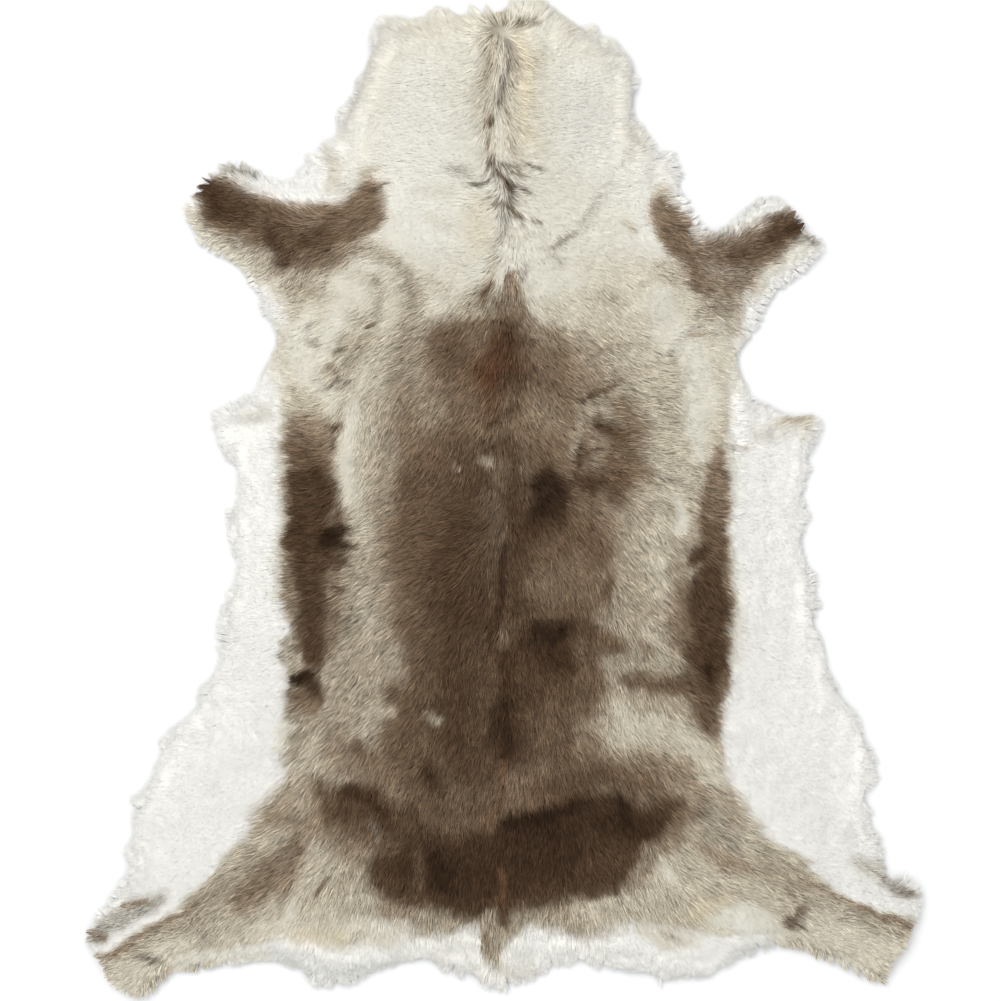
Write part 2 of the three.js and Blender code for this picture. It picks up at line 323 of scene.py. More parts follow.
# Each row: tone, strength, width of the soft edge, then x, y and radius of each bead, in mm.
MARKINGS = [
    # Pale ground.
    ("cream", 1, 70, 0, 590, 110, 0, 500, 160, 0, 400, 190, 0, 320, 170),
    ("milk", 0.6, 50, -110, 520, 36, -105, 430, 50, -100, 330, 32),
    ("milk", 0.6, 50, 105, 520, 36, 115, 450, 46, 160, 400, 36),
    ("mist", 0.8, 16, -150, 592, 6, -176, 515, 10, -192, 460, 12),
    ("mist", 0.8, 16, 60, 612, 6, 130, 568, 7, 156, 520, 7, 160, 470, 7),
    ("oat", 1, 44, -130, 222, 52, -200, 235, 66, -240, 180, 50),
    ("oat", 1, 60, 110, 235, 60, 200, 235, 76, 240, 170, 56),
    ("oat", 0.35, 40, -120, 300, 16, -60, 285, 20),
    ("straw", 0.35, 30, -28, 365, 14, -24, 320, 16),
    # Trunk.
    ("cream", 0.7, 9, -277, 140, 5, -277, 0, 5, -283, -60, 5, -284, -120, 5),
    ("cream", 0.7, 9, 291, 60, 5, 291, -60, 5, 298, -150, 6, 294, -210, 5),
    ("sand", 1, 8, -176, 110, 97, -174, 0, 98, -180, -60, 98, -176, -110, 102),
    ("dun", 1, 8, -170, -112, 107, -172, -150, 93, -172, -185, 81, -172, -212, 76),
    ("dun", 1, 8, -172, -222, 94, -172, -262, 101, -172, -310, 104),
    ("sand", 1, 8, 186, 110, 99, 186, 0, 101, 186, -100, 103),
    ("dun", 1, 10, 186, -100, 103, 188, -160, 103, 188, -215, 100, 178, -255, 102, 172, -300, 101, 172,
     -330, 105),
    ("dun", 1, 40, 0, 165, 100, 0, 0, 150, 0, -300, 180, 0, -420, 170),
    ("sand", 1, 14, -170, -410, 130, -290, -480, 66, -380, -550, 44, -500, -625, 50),
    ("sand", 1, 14, 170, -410, 130, 286, -470, 78, 400, -548, 58, 520, -584, 56),
    # Back.
    ("taupe", 1, 50, -100, 165, 26, 0, 150, 60, 100, 160, 40),
    ("taupe", 1, 50, -85, 130, 50, -100, 60, 50, -100, -20, 50, -105, -120, 36),
    ("mushroom", 0.95, 30, 2, 222, 10, 0, 190, 46, 0, 160, 86, -10, 120, 70),
    ("brown", 0.85, 34, -80, 205, 12, -60, 190, 18, -70, 165, 18),
    ("umber", 0.85, 24, 6, 226, 6, 8, 200, 14, 0, 180, 20),
    ("rust", 0.95, 40, 4, 195, 12, -4, 150, 38, -6, 118, 24),
    ("mushroom", 0.95, 44, -50, 120, 30, -70, 70, 50, -90, 10, 50, -100, -60, 40),
    ("brown", 0.9, 44, -60, 60, 26, -95, 15, 34, -90, -50, 44, -80, -110, 46),
    ("umber", 0.9, 50, -20, 50, 16, -40, -10, 34, -50, -80, 44, -45, -130, 44),
    ("brown", 0.95, 34, -120, -155, 16, -90, -180, 34, -80, -220, 40, -85, -330, 50),
    ("brown", 0.9, 24, -138, -238, 8, -125, -260, 20, -135, -300, 20, -140, -340, 20),
    ("umber", 0.9, 44, -45, -150, 36, -35, -220, 46, -35, -290, 50, -20, -345, 34),
    ("mushroom", 1, 44, 40, 110, 46, 80, 50, 50, 80, -40, 60, 80, -110, 56),
    ("brown", 0.95, 36, 60, -170, 50, 50, -230, 56, 50, -300, 50, 60, -350, 50),
    ("umber", 0.95, 40, 10, 60, 12, 14, 10, 18, 18, -60, 26, 14, -140, 24),
    ("umber", 0.9, 30, 20, -200, 24, 50, -205, 30, 20, -260, 20, 20, -320, 16),
    ("mushroom", 0.8, 30, -90, -385, 18, -50, -390, 20, 20, -368, 20, 50, -345, 16),
    # Mane and whorl.
    ("sand", 0.8, 24, -6, 604, 18, -12, 560, 18, -17, 510, 14, -16, 460, 10, -14, 420, 10),
    ("dun", 0.65, 14, -12, 592, 8, -20, 520, 6),
    ("pewter", 0.85, 8, 6, 575, 5, 10, 545, 4, 4, 515, 6, 3, 490, 5),
    ("slate", 0.8, 4, 8, 572, 2, 12, 558, 2, 4, 530, 2, 6, 505, 2.5, 0, 487, 3),
    ("straw", 0.7, 14, 24, 590, 6, 30, 560, 8, 33, 520, 8, 32, 480, 7, 38, 445, 7),
    ("oat", 0.6, 14, 44, 570, 6, 45, 500, 6, 50, 430, 6),
    ("umber", 0.85, 8, 22, 601, 6, 34, 598, 6, 46, 597, 4),
    ("dun", 0.8, 12, -14, 600, 6, 4, 606, 6),
    ("umber", 0.95, 4, -2, 487, 3, 2, 484, 3),
    ("umber", 0.9, 4, -11, 474, 2, -14, 463, 3),
    ("umber", 0.9, 4, -17, 447, 2, -18, 438, 3),
    ("umber", 0.9, 4, -9, 426, 3, -17, 416, 3, -12, 412, 2),
    ("pewter", 0.5, 22, -8, 416, 8, 8, 400, 18, 16, 376, 14, 12, 358, 8),
    ("slate", 0.95, 4, -22, 404, 2, -14, 413, 2, 0, 416, 2, 27, 413, 2, 56, 413, 1.5),
    ("umber", 0.95, 4, 1, 401, 3, 5, 395, 4, 14, 389, 4, 18, 380, 3),
    ("slate", 0.9, 4, 8, 404, 2, 22, 402, 2, 38, 400, 1.5),
    ("slate", 0.9, 4, 14, 393, 2, 36, 382, 2),
    ("slate", 0.9, 5, 17, 388, 3, 16, 369, 3),
    ("umber", 0.85, 5, -6, 366, 2.5, 6, 363, 3.5, 14, 360, 4, 26, 355, 2.5),
    ("ash", 0.6, 14, -66, 416, 5, -50, 410, 6, -42, 402, 5),
    ("slate", 0.85, 4, -40, 392, 2.5, -26, 390, 2.5, -13, 397, 2),
    ("slate", 0.8, 4, -22, 372, 1.5, -6, 375, 2, 5, 371, 2),
    ("slate", 0.9, 4, 36, 350, 2.5, 48, 346, 2),
    ("oat", 0.6, 24, -100, 388, 6, -66, 384, 8),
    ("oat", 0.6, 24, -90, 352, 8, -70, 346, 6),
    # These thin dark lines are painted shadow in creases of the coat at the nape.
    ("pewter", 0.85, 4, 68, 320, 3, 84, 329, 2.5, 98, 340, 2.5, 108, 355, 2.5, 120, 372, 2, 140, 400, 1.5,
     158, 438, 1),
    ("slate", 0.85, 3, 70, 319, 2, 82, 326, 2, 95, 336, 1.5),
    ("pewter", 0.6, 12, 56, 318, 3, 72, 308, 5, 78, 298, 4),
    ("dun", 0.7, 8, 150, 344, 4, 158, 340, 5),
    ("dun", 0.75, 16, -10, 300, 4, -14, 275, 6, -20, 250, 8),
    ("brown", 0.85, 6, -10, 270, 3, -20, 257, 4, -20, 248, 4),
    ("taupe", 0.95, 10, 12, 276, 8, 12, 262, 11, 9, 242, 16),
    ("brown", 0.9, 4, 2, 276, 2, 8, 284, 2.5, 20, 284, 2.5),
    ("pewter", 0.9, 6, 31, 293, 3, 25, 268, 3),
    ("cream", 0.9, 22, 45, 258, 12, 64, 272, 16, 95, 280, 10),
    ("cream", 0.8, 14, 44, 236, 8, 50, 226, 6),
    # Left shoulder and side.
    ("dun", 0.85, 24, -134, 296, 7, -115, 275, 10, -105, 250, 12, -115, 200, 18),
    ("dun", 0.85, 26, -192, 318, 12, -166, 314, 14, -146, 302, 8),
    ("cream", 0.85, 22, -252, 228, 14, -252, 190, 16, -246, 158, 14),
    ("cream", 0.85, 20, -202, 266, 12, -184, 256, 12, -215, 208, 12, -226, 172, 8),
    ("oat", 0.8, 16, -282, 262, 8, -272, 240, 6),
    ("dun", 0.8, 8, -157, 276, 4, -150, 256, 4, -156, 236, 4),
    ("dun", 0.8, 14, -166, 208, 5, -184, 184, 8, -194, 164, 7),
    ("umber", 1, 4, -177, 219, 2, -164, 220, 4),
    ("brown", 0.95, 4, -208, 183, 3, -201, 185, 3),
    ("brown", 0.9, 4, -218, 163, 3, -210, 165, 3),
    ("umber", 0.95, 4, -209, 157, 3, -208, 149, 3),
    ("ash", 0.8, 7, -245, 217, 4, -238, 218, 3),
    ("ash", 0.8, 7, -246, 200, 4, -234, 194, 5),
    ("cream", 0.75, 16, -232, 142, 9, -212, 124, 8, -214, 108, 5),
    ("slate", 0.8, 4, -225, 140, 1.5, -206, 145, 2, -190, 143, 2),
    ("taupe", 0.95, 20, -254, 90, 16, -236, 84, 16, -222, 78, 12),
    ("mushroom", 0.95, 20, -254, 66, 17, -236, 60, 17, -222, 56, 10),
    ("brown", 0.95, 18, -254, 48, 17, -240, 40, 18, -228, 36, 14),
    ("umber", 0.95, 6, -214, 88, 3.5, -203, 90, 4, -204, 80, 3),
    ("umber", 0.95, 6, -212, 70, 4, -208, 62, 4, -196, 58, 2),
    ("umber", 0.97, 12, -256, 20, 17, -252, -10, 21, -246, -45, 30),
    ("umber", 0.95, 16, -246, -45, 30, -240, -75, 28, -240, -120, 20, -238, -160, 18, -236, -200, 15),
    ("bark", 0.9, 12, -234, 30, 8, -224, 10, 14, -224, -8, 12),
    ("taupe", 0.85, 12, -268, -92, 5, -264, -112, 8, -264, -135, 8),
    ("mushroom", 0.8, 18, -212, -76, 7, -206, -100, 9, -212, -140, 7, -214, -190, 7),
    ("umber", 0.8, 6, -208, -112, 3.5, -199, -114, 3.5),
    ("taupe", 0.9, 10, -214, -24, 6, -202, -30, 6, -194, -26, 4),
    # Painted shade in a hollow of the left flank, darkest under its edge.
    ("peat", 0.95, 7, -226, -44, 5, -210, -43, 6, -199, -41, 6),
    ("peat", 0.9, 12, -222, -54, 8, -206, -54, 10, -196, -57, 5),
    ("bark", 0.9, 4, -192, -57, 3, -181, -61, 2),
    ("oat", 0.8, 6, -262, -172, 2.5, -257, -190, 3, -251, -208, 3),
    ("peat", 1, 7, -258, -224, 5, -247, -220, 6, -238, -223, 5),
    ("umber", 0.95, 7, -238, -226, 5, -230, -238, 5, -228, -246, 4),
    ("mushroom", 0.95, 14, -258, -246, 12, -246, -254, 17, -238, -250, 12),
    ("slate", 0.8, 3, -280, -172, 1.5, -271, -176, 2),
    ("slate", 0.8, 3, -276, -190, 1.5, -270, -196, 2),
    ("oat", 0.9, 14, -172, 160, 8, -176, 140, 8),
    ("oat", 0.92, 22, -187, 132, 8, -189, 96, 12, -193, 60, 14, -194, 36, 13, -187, 8, 12, -182, -14, 10,
     -174, -32, 7),
    ("cream", 0.75, 14, -190, 112, 6, -194, 72, 8, -199, 46, 8, -186, 4, 6),
    ("sand", 0.9, 16, -182, -25, 9, -176, -45, 10, -170, -60, 9),
    ("dun", 0.8, 20, -140, 70, 9, -142, 20, 8, -140, -20, 6),
    ("sand", 0.7, 9, -26, 50, 5, -16, 42, 5),
    ("sand", 0.8, 7, -61, 41, 3, -56, 36, 3),
    ("sand", 0.85, 14, -164, -262, 6, -140, -270, 8),
    ("sand", 0.9, 7, -90, -270, 4, -80, -278, 5),
    ("taupe", 0.9, 34, -205, -290, 10, -205, -315, 20, -185, -335, 22, -160, -345, 20),
    ("brown", 0.7, 24, -130, -325, 12, -120, -350, 16),
    ("bark", 0.8, 16, -90, -332, 7, -84, -350, 10, -76, -368, 6),
    ("bark", 0.85, 20, 8, -195, 8, 6, -250, 9, 9, -300, 12, 4, -330, 8),
    ("bark", 0.85, 8, 0, -60, 4, -2, -90, 5, -4, -120, 6, -8, -150, 6, -10, -185, 5),
    # Right shoulder and side.
    ("dun", 0.85, 30, 105, 215, 16, 130, 240, 18, 140, 200, 20, 170, 215, 12),
    ("cream", 0.9, 26, 205, 262, 12, 200, 240, 18, 212, 212, 18, 238, 180, 18, 252, 130, 20, 245, 85, 14),
    ("dun", 0.85, 6, 185, 168, 4, 200, 176, 3, 218, 190, 4, 240, 205, 3, 284, 212, 1),
    ("oat", 0.8, 14, 290, 232, 10, 282, 200, 6, 278, 140, 4, 276, 100, 4),
    ("taupe", 0.9, 22, 50, 112, 16, 72, 90, 16),
    ("dun", 0.85, 14, 104, 110, 8, 94, 80, 7, 88, 52, 5),
    ("mushroom", 0.9, 30, 150, 118, 12, 165, 90, 18, 160, 60, 20, 150, 15, 22),
    # These thin dark lines are painted shadow in a crease at the right shoulder and beside the spine.
    ("bark", 1, 5, 98, 121, 3, 108, 131, 3.5, 122, 137, 3),
    ("brown", 0.9, 5, 122, 137, 3, 136, 139, 3, 150, 148, 3),
    ("umber", 0.95, 6, -18, 90, 3, 2, 101, 3, 14, 109, 4, 25, 114, 3),
    ("brown", 0.85, 9, 126, 102, 6),
    ("umber", 0.95, 16, 122, 92, 7, 136, 86, 10, 148, 76, 9),
    ("brown", 0.95, 22, 146, 70, 12, 145, 48, 14, 150, 28, 14, 146, 8, 10),
    ("mushroom", 0.9, 20, 155, 58, 12, 172, 42, 12, 188, 32, 6),
    # Painted shadow: dark lines in a fan-shaped crease of the coat.
    ("bark", 0.95, 4, 96, 66, 2.5, 97, 50, 2.5, 96, 36, 2.5),
    ("dun", 0.85, 7, 110, 70, 3, 118, 54, 3, 112, 40, 4),
    ("umber", 0.7, 4, 106, 56, 2, 120, 62, 2),
    ("bark", 0.85, 26, 30, -40, 10, 46, -45, 16, 70, -24, 14, 80, 4, 8),
    ("peat", 0.92, 18, 42, 18, 13, 58, 26, 15, 70, 16, 12, 52, -4, 18, 38, -22, 10),
    ("umber", 0.95, 16, 95, 20, 7, 112, 18, 11, 128, 22, 8),
    ("brown", 0.9, 26, 62, -58, 22, 95, -40, 18, 112, -62, 18),
    ("mushroom", 0.9, 22, 38, -112, 12, 92, -96, 20, 60, -126, 9),
    ("brown", 0.8, 12, 135, -98, 7, 130, -122, 8),
    ("sand", 0.9, 30, 200, -5, 12, 196, -30, 16, 178, -50, 14, 195, -82, 14),
    ("cream", 0.95, 12, 222, 2, 6, 225, -18, 8, 218, -38, 8),
    ("dun", 0.7, 14, 175, 10, 8, 186, 22, 6, 215, 30, 5),
    ("cream", 0.95, 14, 246, 78, 8, 248, 58, 9),
    ("pewter", 0.6, 7, 288, 64, 4, 304, 68, 3),
    ("ash", 0.7, 10, 198, 32, 4, 226, 26, 4),
    ("mushroom", 0.95, 9, 276, 56, 7, 270, 40, 13, 269, 20, 15, 268, 0, 17),
    ("brown", 0.95, 12, 267, -10, 18, 266, -35, 20, 265, -70, 21),
    ("mushroom", 0.85, 16, 226, -108, 8, 222, -150, 10, 228, -190, 8),
    ("umber", 0.97, 16, 262, -100, 20, 258, -125, 26, 258, -150, 27, 258, -190, 26),
    ("umber", 0.97, 12, 258, -190, 26, 264, -215, 22, 264, -240, 16),
    ("mushroom", 0.7, 8, 283, -85, 4, 285, -130, 5),
    ("umber", 0.95, 8, 256, -64, 5, 246, -70, 8, 236, -80, 8),
    ("brown", 0.9, 6, 228, -86, 3, 208, -93, 2),
    ("peat", 0.95, 10, 262, -205, 6, 257, -220, 8, 252, -233, 7),
    ("mushroom", 0.85, 9, 282, -218, 5, 282, -235, 6),
    ("brown", 0.9, 18, 262, -252, 14, 256, -275, 12, 262, -294, 6),
    ("peat", 0.97, 20, 46, -162, 8, 70, -168, 17, 84, -160, 10),
    ("bark", 0.75, 26, 30, -175, 10, 60, -195, 20, 80, -210, 16),
    ("brown", 0.95, 16, 108, -165, 12, 132, -182, 12, 152, -190, 6),
    ("brown", 0.9, 22, 108, -192, 16, 112, -230, 18, 110, -262, 10),
    ("sand", 0.9, 14, 186, -165, 10, 204, -192, 8, 208, -206, 6),
    ("taupe", 0.85, 8, 172, -180, 3, 188, -193, 6),
    ("brown", 0.9, 16, 150, -228, 5, 175, -228, 8, 205, -232, 12, 235, -236, 12),
    ("oat", 0.9, 22, 150, -262, 12, 160, -290, 15, 186, -282, 14),
    ("oat", 0.85, 22, 220, -288, 12, 248, -314, 15, 270, -350, 10),
    ("mushroom", 0.85, 22, 112, -300, 12, 108, -330, 14, 104, -352, 12),
    ("brown", 0.9, 26, 128, -340, 18, 160, -352, 18, 196, -356, 14),
    ("taupe", 0.85, 30, 190, -330, 14, 225, -352, 16, 250, -372, 12),
    ("umber", 0.6, 7, 166, -333, 3, 180, -346, 4),
    # Saddle.
    ("brown", 0.85, 50, -160, -400, 34, -60, -420, 56, 60, -430, 50, 160, -395, 36),
    ("brown", 0.9, 18, -222, -382, 5, -200, -388, 15, -178, -398, 14, -160, -404, 8),
    ("brown", 0.85, 20, -128, -402, 10, -104, -396, 12, -104, -412, 10),
    ("taupe", 0.85, 30, -236, -362, 12, -226, -404, 20, -196, -428, 18, -178, -450, 14),
    ("mushroom", 0.85, 30, 205, -378, 14, 222, -404, 18, 196, -432, 14),
    ("umber", 0.98, 24, -136, -466, 32, -100, -466, 43, -50, -470, 50, 0, -466, 54, 50, -455, 53, 98, -446,
     50, 145, -438, 44),
    ("bark", 0.85, 30, -110, -462, 22, -60, -470, 36, 0, -460, 40, 60, -440, 40, 110, -415, 24),
    ("bark", 0.95, 18, 10, -412, 14, 40, -409, 18, 75, -404, 26, 110, -394, 30, 150, -400, 26, 180, -406,
     20, 203, -393, 10),
    ("peat", 0.8, 22, -84, -452, 14, -70, -475, 14),
    ("peat", 0.85, 14, 5, -402, 6, 46, -400, 8, 76, -388, 9, 104, -370, 6),
    ("peat", 0.9, 12, 142, -372, 5, 150, -385, 8, 157, -400, 8),
    ("umber", 0.85, 24, 112, -425, 12, 116, -452, 16),
    ("rust", 0.7, 9, 0, -470, 4, 1, -515, 5),
    ("umber", 0.85, 12, 2, -515, 9, 6, -530, 6),
    # Haunches, hem and tail.
    ("taupe", 0.8, 20, -285, -394, 8, -255, -406, 12, -228, -414, 6),
    ("brown", 0.9, 4, -221, -476, 2, -227, -490, 3, -231, -502, 1),
    ("dun", 0.8, 12, -206, -480, 6, -188, -474, 6),
    ("cream", 0.8, 16, -262, -505, 7, -264, -535, 10),
    ("oat", 0.85, 16, -300, -535, 12, -240, -540, 16, -190, -545, 18, -140, -545, 14),
    ("dun", 0.7, 10, -186, -550, 3, -176, -540, 4),
    ("mist", 0.97, 10, -330, -570, 11, -270, -574, 12, -225, -592, 15, -160, -584, 11, -110, -568, 12),
    ("milk", 0.97, 8, -110, -568, 12, -80, -558, 12, -44, -548, 15, -40, -578, 18),
    ("dun", 0.85, 20, 238, -402, 10, 268, -418, 13, 300, -438, 11),
    ("taupe", 0.8, 16, 248, -432, 7, 280, -450, 10, 312, -464, 7),
    ("cream", 0.65, 14, 194, -456, 7, 214, -474, 8),
    ("cream", 0.85, 26, 268, -525, 14, 310, -528, 20, 345, -545, 14),
    ("straw", 0.5, 20, 250, -515, 14, 285, -502, 10),
    ("dun", 0.3, 14, 76, -526, 12, 112, -530, 16, 150, -526, 16),
    ("oat", 0.8, 14, 200, -555, 8, 240, -552, 10, 180, -540, 8),
    ("taupe", 0.9, 4, 202, -543, 2, 222, -546, 2),
    ("milk", 0.97, 9, 22, -570, 20, 40, -552, 16, 60, -560, 14, 100, -566, 11, 140, -576, 14),
    ("mist", 0.97, 10, 140, -576, 14, 200, -588, 13, 250, -586, 16, 290, -562, 13, 330, -556, 12),
    ("dun", 0.95, 7, -18, -525, 8, -16, -550, 8, -9, -575, 6, -5, -592, 4),
    ("taupe", 0.8, 5, -12, -528, 3, -20, -546, 3, -10, -564, 3),
    # Legs.
    ("oat", 0.9, 20, -388, 355, 8, -372, 340, 12, -335, 308, 14, -300, 280, 12),
    ("dun", 0.85, 26, -372, 356, 8, -345, 338, 14, -312, 315, 16, -285, 285, 14),
    ("sand", 0.85, 26, -268, 270, 12, -238, 260, 14),
    ("mushroom", 0.95, 16, -352, 366, 24, -315, 348, 30, -278, 340, 32, -238, 340, 30, -200, 344, 28, -168,
     362, 26, -166, 385, 14),
    ("taupe", 0.9, 30, -262, 300, 14, -225, 305, 22, -195, 314, 14),
    ("brown", 0.95, 28, -350, 374, 26, -318, 360, 25, -285, 346, 25, -262, 325, 20, -272, 297, 12),
    ("umber", 0.85, 18, -245, 322, 12, -222, 334, 11, -206, 352, 8),
    ("brown", 0.85, 22, -240, 300, 12, -218, 325, 16, -200, 345, 18),
    ("umber", 0.95, 22, -374, 388, 14, -352, 374, 22, -330, 362, 16),
    ("bark", 0.8, 12, -386, 382, 4, -372, 396, 5, -350, 368, 9),
    ("ash", 0.6, 10, -222, 428, 6, -212, 430, 5),
    ("ash", 0.75, 12, -350, 412, 6, -330, 414, 9, -312, 408, 6),
    ("mist", 0.9, 6, -236, 408, 3, -222, 420, 3, -204, 408, 3, -200, 390, 3),
    ("mushroom", 0.9, 12, -158, 378, 14, -170, 370, 20, -190, 358, 18, -204, 346, 10),
    ("dun", 0.85, 12, -166, 402, 8, -156, 410, 4),
    ("bark", 0.95, 4, -168, 383, 2, -158, 382, 2, -150, 388, 2, -141, 393, 2),
    ("cream", 0.9, 16, 326, 274, 6, 345, 290, 8, 374, 310, 8, 392, 318, 5),
    ("dun", 0.8, 18, 368, 326, 7, 340, 304, 8, 310, 284, 8),
    ("dun", 0.85, 26, 262, 235, 14, 290, 245, 14),
    ("taupe", 0.9, 26, 250, 275, 12, 282, 266, 20, 304, 276, 15),
    ("mushroom", 0.9, 30, 245, 312, 16, 275, 308, 24, 305, 314, 24, 335, 328, 20, 356, 340, 14),
    ("brown", 0.85, 20, 285, 305, 10, 310, 308, 14, 335, 320, 14, 352, 334, 12),
    ("umber", 0.9, 14, 335, 328, 8, 350, 338, 12, 366, 346, 9),
    ("bark", 0.9, 8, 360, 342, 6, 374, 350, 5),
    ("brown", 0.85, 10, 243, 305, 5, 244, 285, 6, 245, 262, 5),
    ("mist", 0.9, 7, 300, 345, 3, 312, 365, 4, 330, 380, 4, 345, 385, 4),
    ("taupe", 0.9, 14, 200, 372, 14, 205, 352, 22, 214, 332, 20),
    ("mushroom", 0.85, 16, 204, 338, 13, 222, 326, 14),
    ("umber", 0.8, 6, 238, 340, 4, 229, 328, 4, 220, 321, 3),
    ("oat", 0.8, 12, 196, 390, 8, 206, 382, 6),
    ("dun", 0.8, 24, -310, -455, 20, -370, -505, 18, -420, -540, 13, -470, -570, 10),
    ("oat", 0.9, 20, -400, -560, 16, -440, -580, 18, -475, -590, 18, -455, -615, 14),
    ("taupe", 0.9, 7, -506, -576, 3, -460, -552, 3, -413, -526, 4, -380, -505, 4),
    ("snow", 0.95, 8, -494, -559, 3, -450, -530, 4, -410, -500, 6, -392, -478, 8),
    ("ash", 0.7, 18, -508, -545, 9, -480, -525, 15, -450, -508, 13, -425, -498, 7),
    ("mushroom", 0.8, 9, -520, -544, 5, -498, -548, 5),
    ("taupe", 0.8, 7, -474, -506, 4, -445, -500, 4),
    ("mushroom", 0.8, 26, -328, -502, 13, -290, -470, 18, -262, -440, 14),
    ("taupe", 0.8, 5, -451, -570, 2, -430, -578, 2),
    ("oat", 0.9, 20, 380, -540, 20, 430, -545, 26, 480, -565, 26, 505, -590, 12),
    ("dun", 0.85, 20, 330, -455, 16, 370, -485, 16, 430, -515, 14, 500, -545, 10),
    ("taupe", 0.9, 8, 379, -481, 4, 420, -497, 4, 460, -512, 5, 512, -537, 5),
    ("snow", 0.95, 8, 388, -464, 5, 420, -482, 8, 460, -500, 7, 505, -521, 3),
    ("ash", 0.6, 16, 445, -452, 5, 480, -470, 10, 510, -488, 10),
    ("mushroom", 0.8, 8, 505, -490, 4, 522, -494, 4),
    ("mushroom", 0.9, 12, 362, -530, 8, 374, -512, 5),
    ("umber", 0.7, 4, 377, -507, 2, 368, -530, 2, 380, -545, 2),
    ("cream", 0.85, 24, 298, -520, 15, 325, -530, 13),
    ("oat", 0.85, 12, 344, 92, 6, 366, 92, 8, 386, 92, 7, 382, 72, 5),
    ("dun", 0.8, 7, 352, 98, 3, 386, 98, 4),
    # Washes.
    ("brown", 0.9, 26, -222, -364, 12, -205, -386, 22, -180, -404, 24, -150, -424, 18),
    ("umber", 0.85, 18, -200, -368, 9, -180, -366, 13, -158, -370, 14, -142, -400, 14),
    ("mushroom", 0.8, 24, -178, -306, 12, -160, -330, 16, -130, -352, 16),
    ("dun", 0.5, 24, -298, -392, 12, -265, -362, 14, -245, -345, 10),
    ("mushroom", 0.6, 18, -145, -512, 10, -110, -514, 9),
    ("mushroom", 0.7, 22, -272, -482, 10, -258, -430, 12),
    ("dun", 0.6, 26, -205, -486, 12, -172, -480, 12),
    ("taupe", 0.6, 40, -118, 190, 20, -104, 150, 24, -90, 108, 22),
    ("dun", 0.7, 14, -20, 236, 9, -46, 234, 8),
    ("dun", 0.55, 22, 40, 212, 12, 60, 200, 10),
    ("oat", 0.7, 34, 52, 236, 10, 105, 236, 18, 145, 226, 22, 190, 208, 22),
    ("dun", 0.7, 34, 118, 176, 18, 160, 172, 20),
    ("oat", 0.5, 30, 204, -40, 12, 200, -80, 14, 198, -118, 12),
    ("sand", 0.5, 22, 14, 482, 10, 15, 450, 14, 24, 414, 12),
    ("umber", 0.75, 16, -216, -72, 9, -200, -80, 7),
    ("umber", 0.7, 14, -234, -30, 12, -216, 10, 9),
    ("brown", 0.85, 8, -260, -158, 8, -256, -185, 8),
    ("dun", 0.8, 10, -268, -172, 7, -266, -202, 7),
    ("umber", 0.6, 16, -240, -234, 12),
    ("cream", 0.9, 10, -272, -292, 10, -274, -314, 7),
    ("umber", 0.6, 22, 66, -362, 10, 104, -354, 13, 138, -352, 10),
    ("umber", 0.85, 18, 196, -380, 12, 220, -381, 8),
    ("brown", 0.6, 22, 222, -392, 12, 255, -392, 8),
    ("mushroom", 0.9, 16, 182, -458, 10, 166, -482, 7),
    ("cream", 0.9, 12, -298, -576, 8, -330, -572, 8, -365, -574, 11, -402, -584, 9),
    ("oat", 0.5, 20, -300, -545, 10, -340, -550, 12),
    ("oat", 0.5, 30, 390, -495, 12, 430, -535, 24, 480, -560, 22),
    ("cream", 0.7, 12, 410, -575, 6, 452, -590, 8),
    ("snow", 0.9, 12, 38, -552, 10, 68, -552, 12, 96, -556, 8),
    ("snow", 0.9, 12, 45, -582, 9, 90, -578, 8, 140, -584, 8, 200, -588, 8, 262, -584, 8, 292, -556, 8),
    ("snow", 0.9, 10, -48, -580, 9, -80, -570, 6),
    ("dun", 0.75, 24, -262, 268, 14, -240, 262, 12),
    ("taupe", 0.6, 18, -205, 298, 12),
    ("oat", 0.8, 16, -215, 390, 9, -205, 416, 10),
    ("ash", 0.8, 14, 380, 330, 8, 394, 322, 6),
    ("brown", 0.8, 12, 346, 350, 6, 360, 354, 5),
    ("oat", 0.6, 14, 322, 262, 8),
    ("dun", 0.6, 20, 206, 292, 12, 222, 275, 12),
    ("mist", 0.8, 16, -340, 96, 6, -300, 112, 11, -290, 128, 6),
    ("mist", 0.7, 16, 316, 84, 8, 336, 76, 8),
    ("dun", 0.6, 30, -138, 176, 16, -112, 190, 16, -112, 160, 16),
    ("dun", 0.6, 34, -112, 160, 14, -98, 135, 14, -90, 104, 14),
    ("oat", 0.5, 24, -205, 176, 12),
    ("bark", 0.5, 26, -118, -420, 16, -78, -424, 16),
    ("sand", 0.55, 24, 172, -296, 12, 140, -298, 12),
    ("sand", 0.4, 20, 12, 328, 12),
    ("dun", 0.45, 10, 14, 578, 6, 16, 545, 6, 14, 515, 6),
    ("sand", 0.5, 22, 45, 550, 10),
    ("umber", 0.5, 30, 46, 48, 14),
    ("taupe", 0.65, 12, 270, 20, 10, 268, -16, 11),
    ("bark", 0.6, 12, -190, -362, 7, -172, -366, 9, -156, -374, 7),
    # These three rows paint a darker band round the neck's rim: painted shade.
    ("dun", 0.3, 20, -142, 592, 8, -156, 556, 8, -170, 512, 8, -188, 470, 8, -200, 450, 8),
    ("dun", 0.3, 20, -135, 590, 8, -97, 588, 8, -50, 597, 8, 0, 603, 8, 50, 612, 8, 88, 590, 8),
    ("dun", 0.3, 20, 90, 588, 8, 128, 558, 8, 152, 540, 6, 152, 500, 8, 152, 462, 8, 172, 434, 8),
    ("oat", 0.6, 26, -150, 176, 12, -138, 200, 8),
    ("taupe", 0.7, 14, 176, -460, 8),
    ("milk", 0.85, 8, -36, -576, 7, 2, -594, 7),
    ("snow", 0.9, 10, 46, -560, 12, 46, -582, 8),
